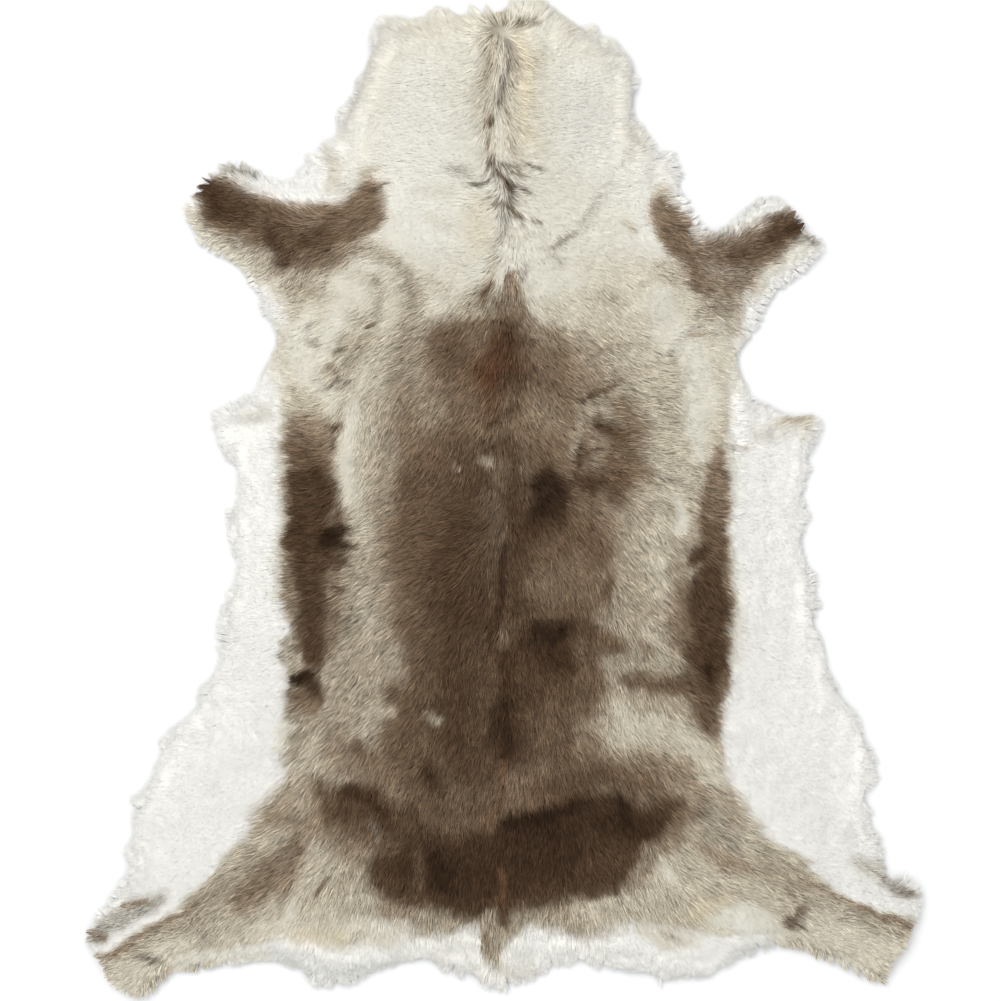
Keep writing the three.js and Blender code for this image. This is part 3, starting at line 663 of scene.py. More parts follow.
    ("oat", 0.6, 30, 150, 176, 12, 190, 176, 14),
    ("cream", 0.6, 26, 200, 208, 14, 225, 190, 12),
    ("snow", 0.85, 12, 340, -416, 10, 362, -428, 12, 386, -440, 10),
    ("dun", 0.6, 20, -262, 236, 10, -255, 262, 10),
    ("umber", 0.6, 20, -208, -392, 10, -174, -390, 9, -110, -392, 10),
    ("pewter", 0.5, 16, -330, 326, 10),
    ("mushroom", 0.8, 14, 202, 366, 17, 222, 342, 20, 226, 322, 16),
    ("dun", 0.6, 16, 206, 388, 12),
    ("mushroom", 0.6, 18, 225, 313, 14, 245, 285, 14, 256, 258, 10),
    ("slate", 0.6, 5, -7, 396, 2, -5, 408, 2.5, 4, 416, 2.5, 16, 413, 2.5, 24, 404, 2),
    ("brown", 0.75, 14, 240, -232, 20, 256, -266, 13, 268, -288, 6),
    ("ash", 0.45, 20, 266, -394, 14, 290, -424, 14),
    ("dun", 0.6, 12, 184, -436, 10, 174, -462, 11, 170, -486, 8),
    ("bark", 0.75, 8, -200, -370, 6, -180, -366, 8, -162, -376, 7, -147, -393, 4),
    ("umber", 0.6, 12, -196, -386, 8, -172, -392, 8),
    ("ash", 0.5, 10, -164, -410, 6, -154, -424, 5),
    ("umber", 0.75, 14, -150, -470, 10, -132, -490, 14, -100, -503, 8),
    ("brown", 0.6, 12, -180, -306, 10, -172, -320, 8),
    ("ginger", 0.45, 12, 2, -330, 5, -4, -370, 6, -14, -405, 6),
    ("ginger", 0.35, 8, -1, -460, 4, 2, -510, 4),
    ("peat", 0.5, 18, 0, -262, 12, -4, -300, 14, -2, -320, 8),
    ("mushroom", 0.45, 12, -104, -440, 7, -103, -484, 7),
    ("bark", 0.5, 14, -290, 330, 11, -276, 296, 9),
    ("mushroom", 0.5, 20, -250, 292, 12, -210, 298, 12),
    ("dun", 0.45, 18, 18, 556, 9, 14, 505, 10, 16, 460, 10, 20, 432, 8),
    ("umber", 0.7, 8, -6, -150, 4, -5, -176, 6, -2, -204, 5),
    ("umber", 0.6, 18, 70, -158, 12, 98, -164, 10, 112, -172, 6),
    ("bark", 0.6, 20, 62, -168, 10, 78, -180, 10, 70, -194, 6),
    ("bark", 0.5, 12, -214, -70, 8, -196, -72, 7),
    ("bark", 0.6, 9, -257, -225, 5, -240, -231, 7, -226, -247, 5),
    ("umber", 0.4, 12, -244, -180, 7, -240, -204, 8),
    ("oat", 0.4, 18, -178, -118, 9, -172, -140, 10, -168, -165, 9),
    ("milk", 0.6, 16, 300, -532, 9, 318, -548, 10, 290, -556, 8),
    ("umber", 0.45, 24, 14, 196, 18, 18, 150, 22),
    ("sand", 0.5, 14, -48, 236, 9, -22, 238, 8),
    ("taupe", 0.5, 24, -92, 176, 12, -84, 140, 14),
    ("sand", 0.55, 20, -150, 190, 9, -142, 165, 11),
    ("dun", 0.5, 20, -112, 210, 11, -112, 178, 10),
    ("dun", 0.4, 20, -180, 236, 12, -168, 216, 10),
    ("ash", 0.6, 9, -162, 274, 4, -155, 250, 5, -156, 226, 4),
    ("dun", 0.4, 18, -92, 272, 9, -72, 262, 10, -60, 252, 8),
    ("slate", 0.5, 4, 322, 252, 1.5, 296, 243, 2, 271, 236, 1.2),
    ("pewter", 0.7, 5, 253, 219, 1.5, 232, 203, 2.2, 214, 188, 2.6, 197, 176, 2, 175, 164, 1.5),
    ("slate", 0.6, 4, 226, 197, 1.5, 214, 188, 2.2, 203, 180, 1.5),
    ("dun", 0.55, 18, 268, 240, 10, 296, 236, 12, 290, 216, 10),
    ("umber", 0.6, 10, 336, 352, 7, 356, 360, 8, 372, 362, 6),
    ("ash", 0.45, 10, 14, 372, 6, 22, 352, 5, 30, 338, 4),
    ("pewter", 0.5, 8, 4, 356, 5, 0, 336, 5, -8, 318, 5),
    ("sand", 0.3, 16, 322, 80, 9, 350, 78, 9),
    ("sand", 0.35, 14, -320, 104, 8, -298, 110, 10),
    ("umber", 0.6, 12, -214, 20, 7, -206, -10, 8, -204, -34, 8),
    ("taupe", 0.45, 20, -292, -398, 12, -266, -384, 14, -262, -358, 10),
    ("umber", 0.5, 18, 44, -362, 10, 66, -350, 8),
    ("umber", 0.7, 10, 118, -488, 10, 140, -486, 9),
    ("mushroom", 0.5, 24, 130, -322, 14, 170, -326, 16, 206, -330, 15, 236, -334, 10),
    ("umber", 0.5, 20, 74, -220, 12, 82, -244, 12),
    ("peat", 0.55, 16, 68, -176, 10, 78, -170, 10),
    ("oat", 0.35, 30, -138, 556, 14, -146, 524, 14, -150, 490, 12),
    ("sand", 0.5, 10, -222, 440, 5, -208, 424, 6, -200, 402, 6, -198, 382, 5),
    ("straw", 0.5, 18, -250, -548, 10, -206, -548, 12),
    ("taupe", 0.3, 18, -278, -388, 14, -290, -412, 12),
    ("dun", 0.35, 20, -271, -450, 14),
    ("pewter", 0.5, 8, -520, -548, 6, -505, -538, 5),
    ("slate", 0.5, 5, -453, -570, 2, -436, -576, 3, -426, -582, 2),
    ("pewter", 0.6, 6, -372, -540, 2, -376, -566, 2.5),
    ("pewter", 0.65, 10, 476, -480, 6, 498, -488, 9, 516, -494, 8),
    ("oat", 0.5, 14, 452, -462, 8, 470, -472, 8),
    ("slate", 0.5, 12, 374, -514, 8, 366, -530, 9),
    ("taupe", 0.4, 16, 276, -372, 12, 292, -400, 12),
]

# %% Painting
WANDER = [(5.0, 34.0), (2.5, 11.0)]
WANDER_SEEDS = (11, 21)
LATTICE = 256
EDGE_MIDDLE = 0.5


def eased(share):
    """A share from 0 to 1 that starts and ends softly."""
    return share * share * (3 - 2 * share)


def ripple(x, y, size, seed):
    """Smooth random values from -1 to 1 that change over about that size."""
    table = np.random.default_rng(seed).uniform(-1, 1, (LATTICE, LATTICE))
    u, v = x / size + LATTICE / 2, y / size + LATTICE / 2
    i, j = np.floor(u).astype(int), np.floor(v).astype(int)
    a, b = eased(u - i), eased(v - j)
    i, j, k, m = i % LATTICE, j % LATTICE, (i + 1) % LATTICE, (j + 1) % LATTICE
    low = table[i, j] * (1 - a) + table[k, j] * a
    high = table[i, m] * (1 - a) + table[k, m] * a
    return low * (1 - b) + high * b


def rippled(values, x, y, waves, seed):
    """Values with ripples added, each wave an amount and a size."""
    for number, (amount, size) in enumerate(waves):
        values = values + amount * ripple(x, y, size, seed + number)
    return values


def chain_distance(x, y, beads):
    """How far places are outside a chain of beads (x, y, radius), and below 0 inside it."""
    nearest = np.full(x.shape, FAR)
    for start, end in zip(beads, beads[1:] if len(beads) > 1 else beads):
        away, share = to_line(x, y, start[:2], end[:2])
        nearest = np.minimum(nearest, away - start[2] - share * (end[2] - start[2]))
    return nearest


def near(x, y, beads, room):
    """Which places are in the box round a chain of beads."""
    xs, ys, radii = beads.T
    reach = radii.max() + room
    across = (x > xs.min() - reach) & (x < xs.max() + reach)
    return np.flatnonzero(across & (y > ys.min() - reach) & (y < ys.max() + reach))


def coat_colour(x, y):
    """The coat's colour at places, as red, green and blue from 0 to 255."""
    wx, wy = (rippled(axis, x, y, WANDER, seed) for axis, seed in zip((x, y), WANDER_SEEDS))
    colour = np.tile(np.array(TONES["snow"], float), (len(x), 1))
    for tone, strength, edge, *beads in MARKINGS:
        beads = np.reshape(beads, (-1, 3))
        at = near(wx, wy, beads, edge)
        share = EDGE_MIDDLE - chain_distance(wx[at], wy[at], beads) / edge
        cover = (eased(np.clip(share, 0, 1)) * strength)[:, None]
        colour[at] = colour[at] * (1 - cover) + np.array(TONES[tone]) * cover
    return colour


def linear(colour):
    """Screen values from 0 to 255 as the linear values that shaders take."""
    share = np.clip(colour, 0, 255) / 255
    return np.where(share < 0.04045, share / 12.92, ((share + 0.055) / 1.055) ** 2.4)


print("tones:", len(TONES), "markings:", len(MARKINGS))

# %% [markdown]
# ## The lie of the coat
# Hair on a hide always lies one way at each place: down the back, away from the spine over the ribs, along
# the legs, and round a whorl on the neck. The table gives that heading at chosen places, in degrees
# from the right-hand side towards the neck, with how far each row reaches. A second table does the same for
# the length of the hair. Between the rows both are blended, and at the rim the hair turns outwards.

# %% Combing and lengths
# Each row: x and y in mm, the heading in degrees, and how far the row reaches in mm.
COMBS = np.array([
    # Neck.
    (-110, 580, 165, 45), (-120, 500, 180, 60), (-150, 420, 185, 55), (-90, 340, 200, 50),
    (-55, 470, 195, 32), (-60, 570, 150, 32), (-10, 560, -88, 22), (-8, 470, -86, 22), (10, 622, 88, 22),
    (60, 580, 30, 32), (55, 480, -10, 36), (120, 500, 0, 60), (150, 420, 0, 55), (120, 330, -20, 50),
    # Whorl and nape.
    (2, 426, -62, 12), (38, 404, 0, 18), (30, 384, -32, 12), (14, 360, -32, 14), (-16, 372, 180, 12),
    (-34, 396, 178, 16), (-24, 335, 184, 26), (38, 330, -62, 22), (-45, 285, -162, 34), (10, 262, -95, 16),
    (55, 285, -50, 26),
    # Left shoulder and foreleg.
    (-150, 280, -150, 50), (-175, 370, -160, 30), (-225, 345, 180, 30), (-262, 368, 120, 22),
    (-225, 378, 50, 20), (-255, 310, -125, 28), (-320, 360, 177, 36), (-375, 380, 172, 30),
    (-310, 290, -150, 34), (-190, 200, -125, 40), (-260, 220, -165, 40),
    # Right shoulder and foreleg.
    (140, 260, -40, 50), (205, 350, -15, 34), (290, 315, 7, 40), (365, 345, 12, 30), (290, 265, -30, 34),
    (240, 210, -8, 50),
    # Withers.
    (14, 284, -90, 16), (-50, 225, -142, 36), (0, 200, -92, 30), (60, 225, -55, 36), (-110, 190, -150, 40),
    (110, 190, -25, 40),
    # Back and spine.
    (-70, 120, -120, 50), (60, 120, -65, 40), (-110, 60, -128, 50), (-70, -30, -172, 40),
    (-130, -30, -150, 36), (-110, -120, -142, 50), (-100, -240, -116, 60), (-5, 40, -92, 26),
    (0, -80, -90, 26), (0, -220, -90, 30),
    # Left flank, belly and hind leg.
    (-185, 100, -97, 22), (-185, 10, -97, 22), (-250, 110, 170, 36), (-255, 20, 180, 40),
    (-255, -100, -170, 50), (-250, -230, -150, 44), (-350, 60, 180, 70), (-370, -130, -172, 90),
    (-400, -330, -158, 80), (-190, -170, -130, 34), (-220, -320, -128, 50), (-290, -450, -150, 60),
    (-410, -540, -150, 60), (-330, -570, -112, 34),
    # Right side, belly and hind leg.
    (110, 100, -10, 40), (90, 40, -12, 36), (180, 80, -5, 50), (195, -50, -58, 50), (70, -60, -68, 44),
    (70, -200, -80, 50), (165, -270, -57, 46), (235, -345, -45, 46), (280, -450, -28, 60),
    (420, -530, -18, 60), (320, -560, -50, 34), (262, 20, -10, 36), (262, -110, -45, 46),
    (262, -240, -55, 46), (360, 60, 0, 70), (370, -130, -12, 90), (410, -330, -30, 80),
    # Saddle and hem.
    (-160, -420, -105, 50), (0, -440, -90, 70), (160, -420, -72, 50), (-200, -540, -98, 50),
    (0, -550, -90, 50), (180, -530, -60, 50),
])

# Each row: x and y, the length of the hair, and how far the row reaches, in mm.
LENGTHS = np.array([
    (-110, 500, 34, 110), (110, 500, 34, 110), (4, 560, 20, 26), (-4, 470, 18, 26), (10, 395, 13, 34),
    (10, 320, 20, 44), (-170, 220, 22, 70), (170, 220, 22, 70), (0, 180, 19, 110), (0, 0, 20, 160),
    (0, -250, 20, 160), (-370, 0, 34, 80), (380, 0, 34, 80), (-400, -330, 34, 90), (420, -330, 34, 90),
    (-262, -60, 14, 50), (-262, -220, 15, 50), (272, -60, 14, 50), (272, -220, 15, 50), (-310, 350, 12, 70),
    (310, 320, 12, 70), (-430, -550, 13, 80), (440, -530, 13, 80), (0, -440, 20, 110), (0, -570, 32, 60),
    (-220, -575, 28, 50), (220, -575, 28, 50),
])

# %% Flow of the coat
RIM_REACH = 38.0
RIM_PULL = 0.85
RIM_CURVE = 1.5
SWAY = [(math.radians(12.0), 60.0), (math.radians(14.0), 20.0)]
SWAY_SEED = 31
FAR_SHARE = 1e-6
LEAST_SIZE = 1e-6


def shares(x, y, rows):
    """How much each row of a table counts at each place; the shares of a place add up to 1."""
    away = [((x - row[0]) ** 2 + (y - row[1]) ** 2) / (2 * row[3] ** 2) for row in rows]
    weight = np.exp(-np.array(away)) + FAR_SHARE / (1 + np.array(away))
    return weight / weight.sum(0)


def coat_heading(x, y):
    """The way the hair points at places, in radians from the right, with the rim's hair pointing out."""
    weight = shares(x, y, COMBS)
    turn = np.radians(COMBS[:, 2])
    across, along = np.cos(turn) @ weight, np.sin(turn) @ weight
    size = np.maximum(np.hypot(across, along), LEAST_SIZE)
    pull = RIM_PULL * np.clip(1 - read_map(inset_map, x, y) / RIM_REACH, 0, 1) ** RIM_CURVE
    across = across / size * (1 - pull) + read_map(out_x, x, y) * pull
    along = along / size * (1 - pull) + read_map(out_y, x, y) * pull
    return rippled(np.arctan2(along, across), x, y, SWAY, SWAY_SEED)


def coat_length(x, y):
    """The length of the guard hair at places, in mm."""
    return LENGTHS[:, 2] @ shares(x, y, LENGTHS)


print("comb rows:", len(COMBS), "length rows:", len(LENGTHS))

# %% [markdown]
# ## The leather and the wool
# The leather is a supple sheet about two millimetres thick that lies on the floor and lifts in a few soft
# folds. The wool is the dense short undercoat that closes the gaps between the guard hairs. Both are made
# from one net of square cells: the cells inside an inset of the rim are kept, and the net's edge is slid
# onto that inset line, so that the outline runs smooth. A layer is then that net twice, once for its
# underside and once for its top, with a wall between.

# %% A layer on a net
FIELDS = {"FLOAT_COLOR": "color", "FLOAT_VECTOR": "vector"}
RIM_STEPS = 4
LEAST_STEEP = 0.25


def floor_level(x, y):
    """The level of the solid's underside at places, in mm."""
    return np.maximum(read_map(low_map, x, y), 0)


def crossings(spacing):
    """The crossings of a square net that covers the maps."""
    return np.meshgrid(*(np.arange(axis[0], axis[-1], spacing) for axis in (columns, rows)))


def net_cells(cell, inset):
    """The corners of the square cells that lie inside an inset of the rim, slid onto it at the edge."""
    x, y = crossings(cell)
    middle = read_map(inset_map, x[:-1, :-1] + cell / 2, y[:-1, :-1] + cell / 2) > inset
    block = middle[:-1, :-1] & middle[1:, :-1] & middle[:-1, 1:] & middle[1:, 1:]
    keep = np.zeros(middle.shape, bool)
    for down, over in ((0, 0), (1, 0), (0, 1), (1, 1)):
        keep[down:down + block.shape[0], over:over + block.shape[1]] |= block
    j, i = np.nonzero(keep)
    first, above = j * x.shape[1] + i, (j + 1) * x.shape[1] + i
    used, quads = np.unique(np.stack([first, first + 1, above + 1, above], 1), return_inverse=True)
    quads = quads.reshape(-1, 4)
    x, y = x.reshape(-1)[used], y.reshape(-1)[used]
    edge = np.bincount(quads.reshape(-1), minlength=len(x)) < 4
    for _ in range(RIM_STEPS):
        short = np.clip(inset - read_map(inset_map, x[edge], y[edge]), -cell, cell)
        slope_x, slope_y = read_map(out_x, x[edge], y[edge]), read_map(out_y, x[edge], y[edge])
        steep = np.maximum(slope_x ** 2 + slope_y ** 2, LEAST_STEEP)
        x[edge] -= short * slope_x / steep
        y[edge] -= short * slope_y / steep
    return x, y, quads


def layer(name, x, y, quads, low, high):
    """A closed piece between two heights over a net, in mm, as an object in metres."""
    count = len(x)
    vertices = np.concatenate([np.stack([x, y, low], 1), np.stack([x, y, high], 1)]) * MM
    edges = np.concatenate([quads[:, [k, (k + 1) % 4]] for k in range(4)])
    keys, twins = edges @ (count, 1), edges @ (1, count)
    a, b = edges[~np.isin(keys, twins)].T
    walls = np.stack([a, b, b + count, a + count], 1)
    faces = np.concatenate([quads[:, ::-1], quads + count, walls])
    mesh = bpy.data.meshes.new(name)
    mesh.from_pydata(vertices.tolist(), [], faces.tolist())
    mesh.shade_smooth()
    return placed(name, mesh)


def give(mesh, name, kind, values):
    """Stores a value for each point of a mesh; a colour gets a fourth number, which is 1."""
    if kind == "FLOAT_COLOR":
        values = np.column_stack([values, np.ones(len(values))])
    stored = mesh.attributes.new(name, kind, "POINT").data
    stored.foreach_set(FIELDS.get(kind, "value"), np.ascontiguousarray(values).reshape(-1))


# %% The leather
SKIN_INSET = 9.0
SKIN_CELL = 9.0
SKIN_THICK = 2.0

skin_x, skin_y, skin_quads = net_cells(SKIN_CELL, SKIN_INSET)
skin_low = floor_level(skin_x, skin_y)
skin = layer("skin", skin_x, skin_y, skin_quads, skin_low, skin_low + SKIN_THICK)
print("leather faces:", len(skin.data.polygons))

# %% The wool
WOOL_INSET = 7.0
WOOL_CELL = 7.5
WOOL_GAP = 0.2
WOOL_SHARE = 0.58
WOOL_LEAST = 1.2
LUMP, LUMP_SIZE, LUMP_SEED = 0.8, 14, 41
LUMP_ROOM = 8
WOOL_TONES, WOOL_SHADE = (170, 230), (0.66, 0.88)


def wool_foot(x, y):
    """The level of the wool's underside at places, in mm, just above the leather."""
    return floor_level(x, y) + SKIN_THICK + WOOL_GAP


def wool_level(x, y):
    """The level of the wool's top at places, in mm."""
    room = np.maximum(read_map(high_map, x, y) - wool_foot(x, y), 0)
    lump = LUMP * (1 + ripple(x, y, LUMP_SIZE, LUMP_SEED)) * np.clip(room / LUMP_ROOM, 0, 1)
    return wool_foot(x, y) + np.maximum(room * WOOL_SHARE + lump, WOOL_LEAST)


wool_x, wool_y, wool_quads = net_cells(WOOL_CELL, WOOL_INSET)
wool_heights = wool_foot(wool_x, wool_y), wool_level(wool_x, wool_y)
wool = layer("wool", wool_x, wool_y, wool_quads, *wool_heights)
wool_coat = coat_colour(wool_x, wool_y)
# The wool is darker than the hair above it: painted shade of the depth under the hair, less in white coat.
wool_shaded_tone = linear(wool_coat) * np.interp(wool_coat.mean(1), WOOL_TONES, WOOL_SHADE)[:, None]
give(wool.data, "tone", "FLOAT_COLOR", np.concatenate([wool_shaded_tone, wool_shaded_tone]))
print("wool faces:", len(wool.data.polygons))

# %% [markdown]
# ## The guard hair
# Guard hair is what the hide shows: some four hundred thousand soft hairs that lie over one another like
# thatch, each from its root in the wool to a fine tip at the top of the coat. Neighbouring hairs cling
# together in small locks whose tips meet, and that keeps a coat from looking like a brush. So the roots are
# strewn evenly, each hair finds its lock, and its tip is drawn towards the lock's tip.

# %% Roots and locks
HAIRS = 440000
ROOT_INSET = 6.0
SEED = 7
LOCK_CELL = 7.5
LOCK_SPARE = 4

rng = np.random.default_rng(SEED)


def strewn(spacing, inset):
    """Places spread evenly but not in rows, inside an inset of the rim."""
    x, y = (axis.reshape(-1) for axis in crossings(spacing))
    x = x + spacing * rng.random(len(x))
    y = y + spacing * rng.random(len(y))
    inside = read_map(inset_map, x, y) > inset
    return x[inside], y[inside]


def locks_of(x, y):
    """The number and the place of the lock nearest to each hair, and how many locks there may be."""
    width, height = (int((axis[-1] - axis[0]) / LOCK_CELL) + LOCK_SPARE for axis in (columns, rows))
    jitter = rng.random((2, height, width))
    i = ((x - columns[0]) / LOCK_CELL).astype(int) + 1
    j = ((y - rows[0]) / LOCK_CELL).astype(int) + 1
    best = np.full(x.shape, FAR)
    number, near_x, near_y = np.zeros(x.shape, int), x.copy(), y.copy()
    for down in (-1, 0, 1):
        for over in (-1, 0, 1):
            at = (j + down, i + over)
            middle_x = columns[0] + (at[1] - 1 + jitter[0][at]) * LOCK_CELL
            middle_y = rows[0] + (at[0] - 1 + jitter[1][at]) * LOCK_CELL
            away = (middle_x - x) ** 2 + (middle_y - y) ** 2
            closer = away < best
            found = (away, at[0] * width + at[1], middle_x, middle_y)
            for kept, new in zip((best, number, near_x, near_y), found):
                kept[closer] = new[closer]
    return number, near_x, near_y, width * height


area = (inset_map > ROOT_INSET).sum() * GRID ** 2
root_x, root_y = strewn(math.sqrt(area / HAIRS), ROOT_INSET)
lock, lock_x, lock_y, lock_count = locks_of(root_x, root_y)
hair_count = len(root_x)
print("hairs:", hair_count, "locks:", len(np.unique(lock)))

# %% Tips
LOCK_PULL = (0.10, 0.48)
RIM_LOCK_PULL = 0.7
RIM_BAND = 30.0
LOCK_SWING = 18.0
LOCK_LENGTH = (0.82, 1.12)
HAIR_SWING = 14.0
HAIR_LENGTH = (0.70, 1.10)
OVERHANG = (1.0, 34.0)
LOCK_OVERHANG = (0.4, 1)
FULL_OVERHANG, LEAST_OVERHANG = 30.0, 0.3
TUFT, TUFT_SEED = 20.0, 61
TUFT_MEAN, TUFT_SPREAD, TUFT_CURVE = 0.45, 0.8, 1.5
LEAST_TRIM = 0.1
LEAST_STEP = 1e-3
STRAY = 6.0
CALM_TONES = (174, 220)
CALM_PULL = 0.7


def calmness(colour):
    """How smoothly hair lies: 0 in the brown coat and 1 in the silky white of the belly and neck."""
    return eased(np.clip((colour.mean(1) - CALM_TONES[0]) / (CALM_TONES[1] - CALM_TONES[0]), 0, 1))


def per_lock(low, high):
    """One random value for each lock, given to each of its hairs."""
    return rng.uniform(low, high, lock_count)[lock]


length = coat_length(root_x, root_y) * per_lock(*LOCK_LENGTH)
lock_turn = coat_heading(lock_x, lock_y) + np.radians(per_lock(-LOCK_SWING, LOCK_SWING))
turn = coat_heading(root_x, root_y) + np.radians(rng.normal(0, HAIR_SWING, hair_count))
own = length * rng.uniform(*HAIR_LENGTH, hair_count)
calm = calmness(coat_colour(root_x, root_y))
root_inset = read_map(inset_map, root_x, root_y)
at_rim = np.clip(1 - root_inset / RIM_BAND, 0, 1)
pull = per_lock(*LOCK_PULL) * (1 - CALM_PULL * calm) + RIM_LOCK_PULL * at_rim
reach_x = own * np.cos(turn) * (1 - pull) + (lock_x - root_x + length * np.cos(lock_turn)) * pull
reach_y = own * np.sin(turn) * (1 - pull) + (lock_y - root_y + length * np.sin(lock_turn)) * pull

tuft = TUFT_MEAN + TUFT_SPREAD * ripple(root_x, root_y, TUFT, TUFT_SEED)
tuft = np.clip(tuft, 0, 1) ** TUFT_CURVE
overhang = OVERHANG[0] + (OVERHANG[1] - OVERHANG[0]) * tuft * per_lock(*LOCK_OVERHANG)
overhang = overhang * np.clip(length / FULL_OVERHANG, LEAST_OVERHANG, 1)
tip_inset = read_map(inset_map, root_x + reach_x, root_y + reach_y)
spare = (root_inset + overhang) / np.maximum(root_inset - tip_inset, LEAST_STEP)
trim = np.where(tip_inset < -overhang, np.clip(spare, LEAST_TRIM, 1), 1)
least, most = np.array(CAD_BOX)[:, :2] / MM + [[-STRAY], [STRAY]]
tip_x = np.clip(root_x + reach_x * trim, least[0], most[0])
tip_y = np.clip(root_y + reach_y * trim, least[1], most[1])
print("longest reach, mm:", round(float(np.hypot(reach_x * trim, reach_y * trim).max()), 1))

# %% Levels
ROOT_DEPTH = 1.0
TIP_LIFT = (-2.2, 0.8)
LOCK_LIFT = (-1.4, 1.4)
CALM_LIFT = 0.96
DROOP = 0.7
TIP_LEAST = 0.8

tip_out = np.clip(-read_map(inset_map, tip_x, tip_y) / OVERHANG[1], 0, 1)
root_z = wool_level(root_x, root_y) - ROOT_DEPTH
lift = rng.uniform(*TIP_LIFT, hair_count) + per_lock(*LOCK_LIFT)
tip_z = read_map(high_map, tip_x, tip_y) + lift * (1 - CALM_LIFT * calm)
tip_z = np.maximum(tip_z * (1 - DROOP * tip_out), TIP_LEAST)
print("tips, mm:", round(float(tip_z.min()), 1), "to", round(float(tip_z.max()), 1))

# %% Colours
ROOT_AT, TIP_AT = 0.38, 0.82
LOCK_SHARE = 0.20
LOCK_TONE = 0.07
HAIR_TONE = 0.20
PALE_HAIRS, PALE_GAIN = 0.16, 1.6
DARK_HAIRS, DARK_GAIN = 0.18, 0.5
MOTTLES = [(0.10, 26.0), (0.09, 9.0)]
MOTTLE_SEED = 51
ROOT_SHADE = 0.55
TIP_LIGHT = 1.12
EXPOSURE_TONES = (90, 160, 195, 215, 240)
EXPOSURES = (0.95, 1.03, 1.14, 1.08, 1.09)
WHITEST = 0.97
RIM_SHADE, RIM_SHADE_BAND = 0.23, (13.0, 54.0)
CALM_CONTRAST = 0.97
RICHNESS = 1.12


def coat_along(share):
    """The coat's colour at a share of each hair's length, drawn a little towards its lock's middle."""
    x = root_x + (tip_x - root_x) * share
    y = root_y + (tip_y - root_y) * share
    x += (lock_x + length * np.cos(lock_turn) * share - x) * LOCK_SHARE
    y += (lock_y + length * np.sin(lock_turn) * share - y) * LOCK_SHARE
    return coat_colour(x, y)


change = 1 + per_lock(-LOCK_TONE, LOCK_TONE) + rng.uniform(-HAIR_TONE, HAIR_TONE, hair_count)
change = rippled(change, root_x, root_y, MOTTLES, MOTTLE_SEED)
pick = rng.random(hair_count)
change = np.where(pick < PALE_HAIRS, change * PALE_GAIN, change)
change = np.where(pick > 1 - DARK_HAIRS, change * DARK_GAIN, change)


def hair_tone(colour, gain):
    """The tones of the hairs from the coat's colour, with less contrast where the coat is white, and white
    hair near the rim darkened as painted shade.
    """
    contrast = 1 - calmness(colour) * CALM_CONTRAST
    grey = colour.mean(1, keepdims=True)
    exposure = np.interp(grey[:, 0], EXPOSURE_TONES, EXPOSURES)
    # White hair near the rim is darkened: painted shade that evens out the hair over the rim, which catches
    # more light.
    shade = 1 - RIM_SHADE * calm * np.interp(root_inset, RIM_SHADE_BAND, (1, 0))
    factor = (1 + (change * gain - 1) * contrast) * exposure * shade
    rich = np.clip(grey + (colour - grey) * RICHNESS, 0, 255)
    tone = linear(rich) * factor[:, None]
    return tone * np.minimum(1, WHITEST / tone.max(1, keepdims=True))


# Roots are darkened and tips lightened: partly the hair's own colour, partly painted shade deep in the coat
# and painted light on the tips.
root_tone = hair_tone(coat_along(ROOT_AT), ROOT_SHADE)
tip_tone = hair_tone(coat_along(TIP_AT), TIP_LIGHT)
print("mean tip tone:", [round(float(v), 3) for v in tip_tone.mean(0)])

# %% [markdown]
# ### One hair, and how it repeats
# A hair is a narrow kite: a point in the wool, a widest place two fifths along and a fine tip. Two triangles
# are enough, because the kite is only as wide as a real lock of a few hairs, and nearly a million triangles
# of it read as fur. Three kites with different bends break up the sameness. Geometry Nodes put one on every
# root, turned and stretched by the values worked out above, and realize them as one mesh.

# %% The kites
WIDEST = 0.42
HALF_WIDTH = 0.5
KITE_BENDS = [(0.00, 0.05), (0.07, 0.07), (-0.07, 0.03)]


def kite(name, side, rise):
    """One hair of unit length along +X and unit width, bent aside and upwards at its widest place."""
    mesh = bpy.data.meshes.new(name)
    wide = [(WIDEST, side + way * HALF_WIDTH, rise) for way in (-1, 1)]
    mesh.from_pydata([(0, 0, 0), *wide, (1, 0, 0)], [], [(0, 1, 2), (1, 3, 2)])
    give(mesh, "along", "FLOAT", [0, WIDEST, WIDEST, 1])
    return bpy.data.objects.new(name, mesh)


kites = bpy.data.collections.new("kites")
for number, (side, rise) in enumerate(KITE_BENDS):
    kites.objects.link(kite(f"kite_{number}", side, rise))

# %% [markdown]
# ### The finish of the hair
# Guard hair is dull, darker at its root and paler at its tip, partly in its own colour and partly as
# painted shade deep in the coat and painted light on the tips above, and no two hairs have quite the same
# tone.
# A hair shader would suit curves, but these hairs are flat kites, so a plain shader takes the two tones
# that each hair carries and blends them along it. White hair is silky and shows few single strands, so
# there the shader turns the surface's direction upwards, which evens out the light.

# %% Hair finish
HAIR_BASE = {"Base Color": (0.5, 0.45, 0.38, 1), "Roughness": 0.6, "Specular IOR Level": 0.08}
HAIR_GRAIN = (420.0, 0.93, 1.05)
HAIR_ROUGHNESS = (140.0, 0.58, 0.78)
SILKY_TONES = (0.35, 0.75)
SILKY_SHARES = (0.15, 0.96)


def node(tree, kind, inputs=None, **settings):
    """The outputs of a new shader or geometry node with its settings and inputs."""
    made = tree.nodes.new(kind)
    for name, value in settings.items():
        setattr(made, name, value)
    fill(tree, made, inputs or {})
    return made.outputs


def ranged(tree, value, before, after):
    """A value carried from one range to another."""
    names = ("Value", "From Min", "From Max", "To Min", "To Max")
    return node(tree, "ShaderNodeMapRange", dict(zip(names, (value, *before, *after))))["Result"]


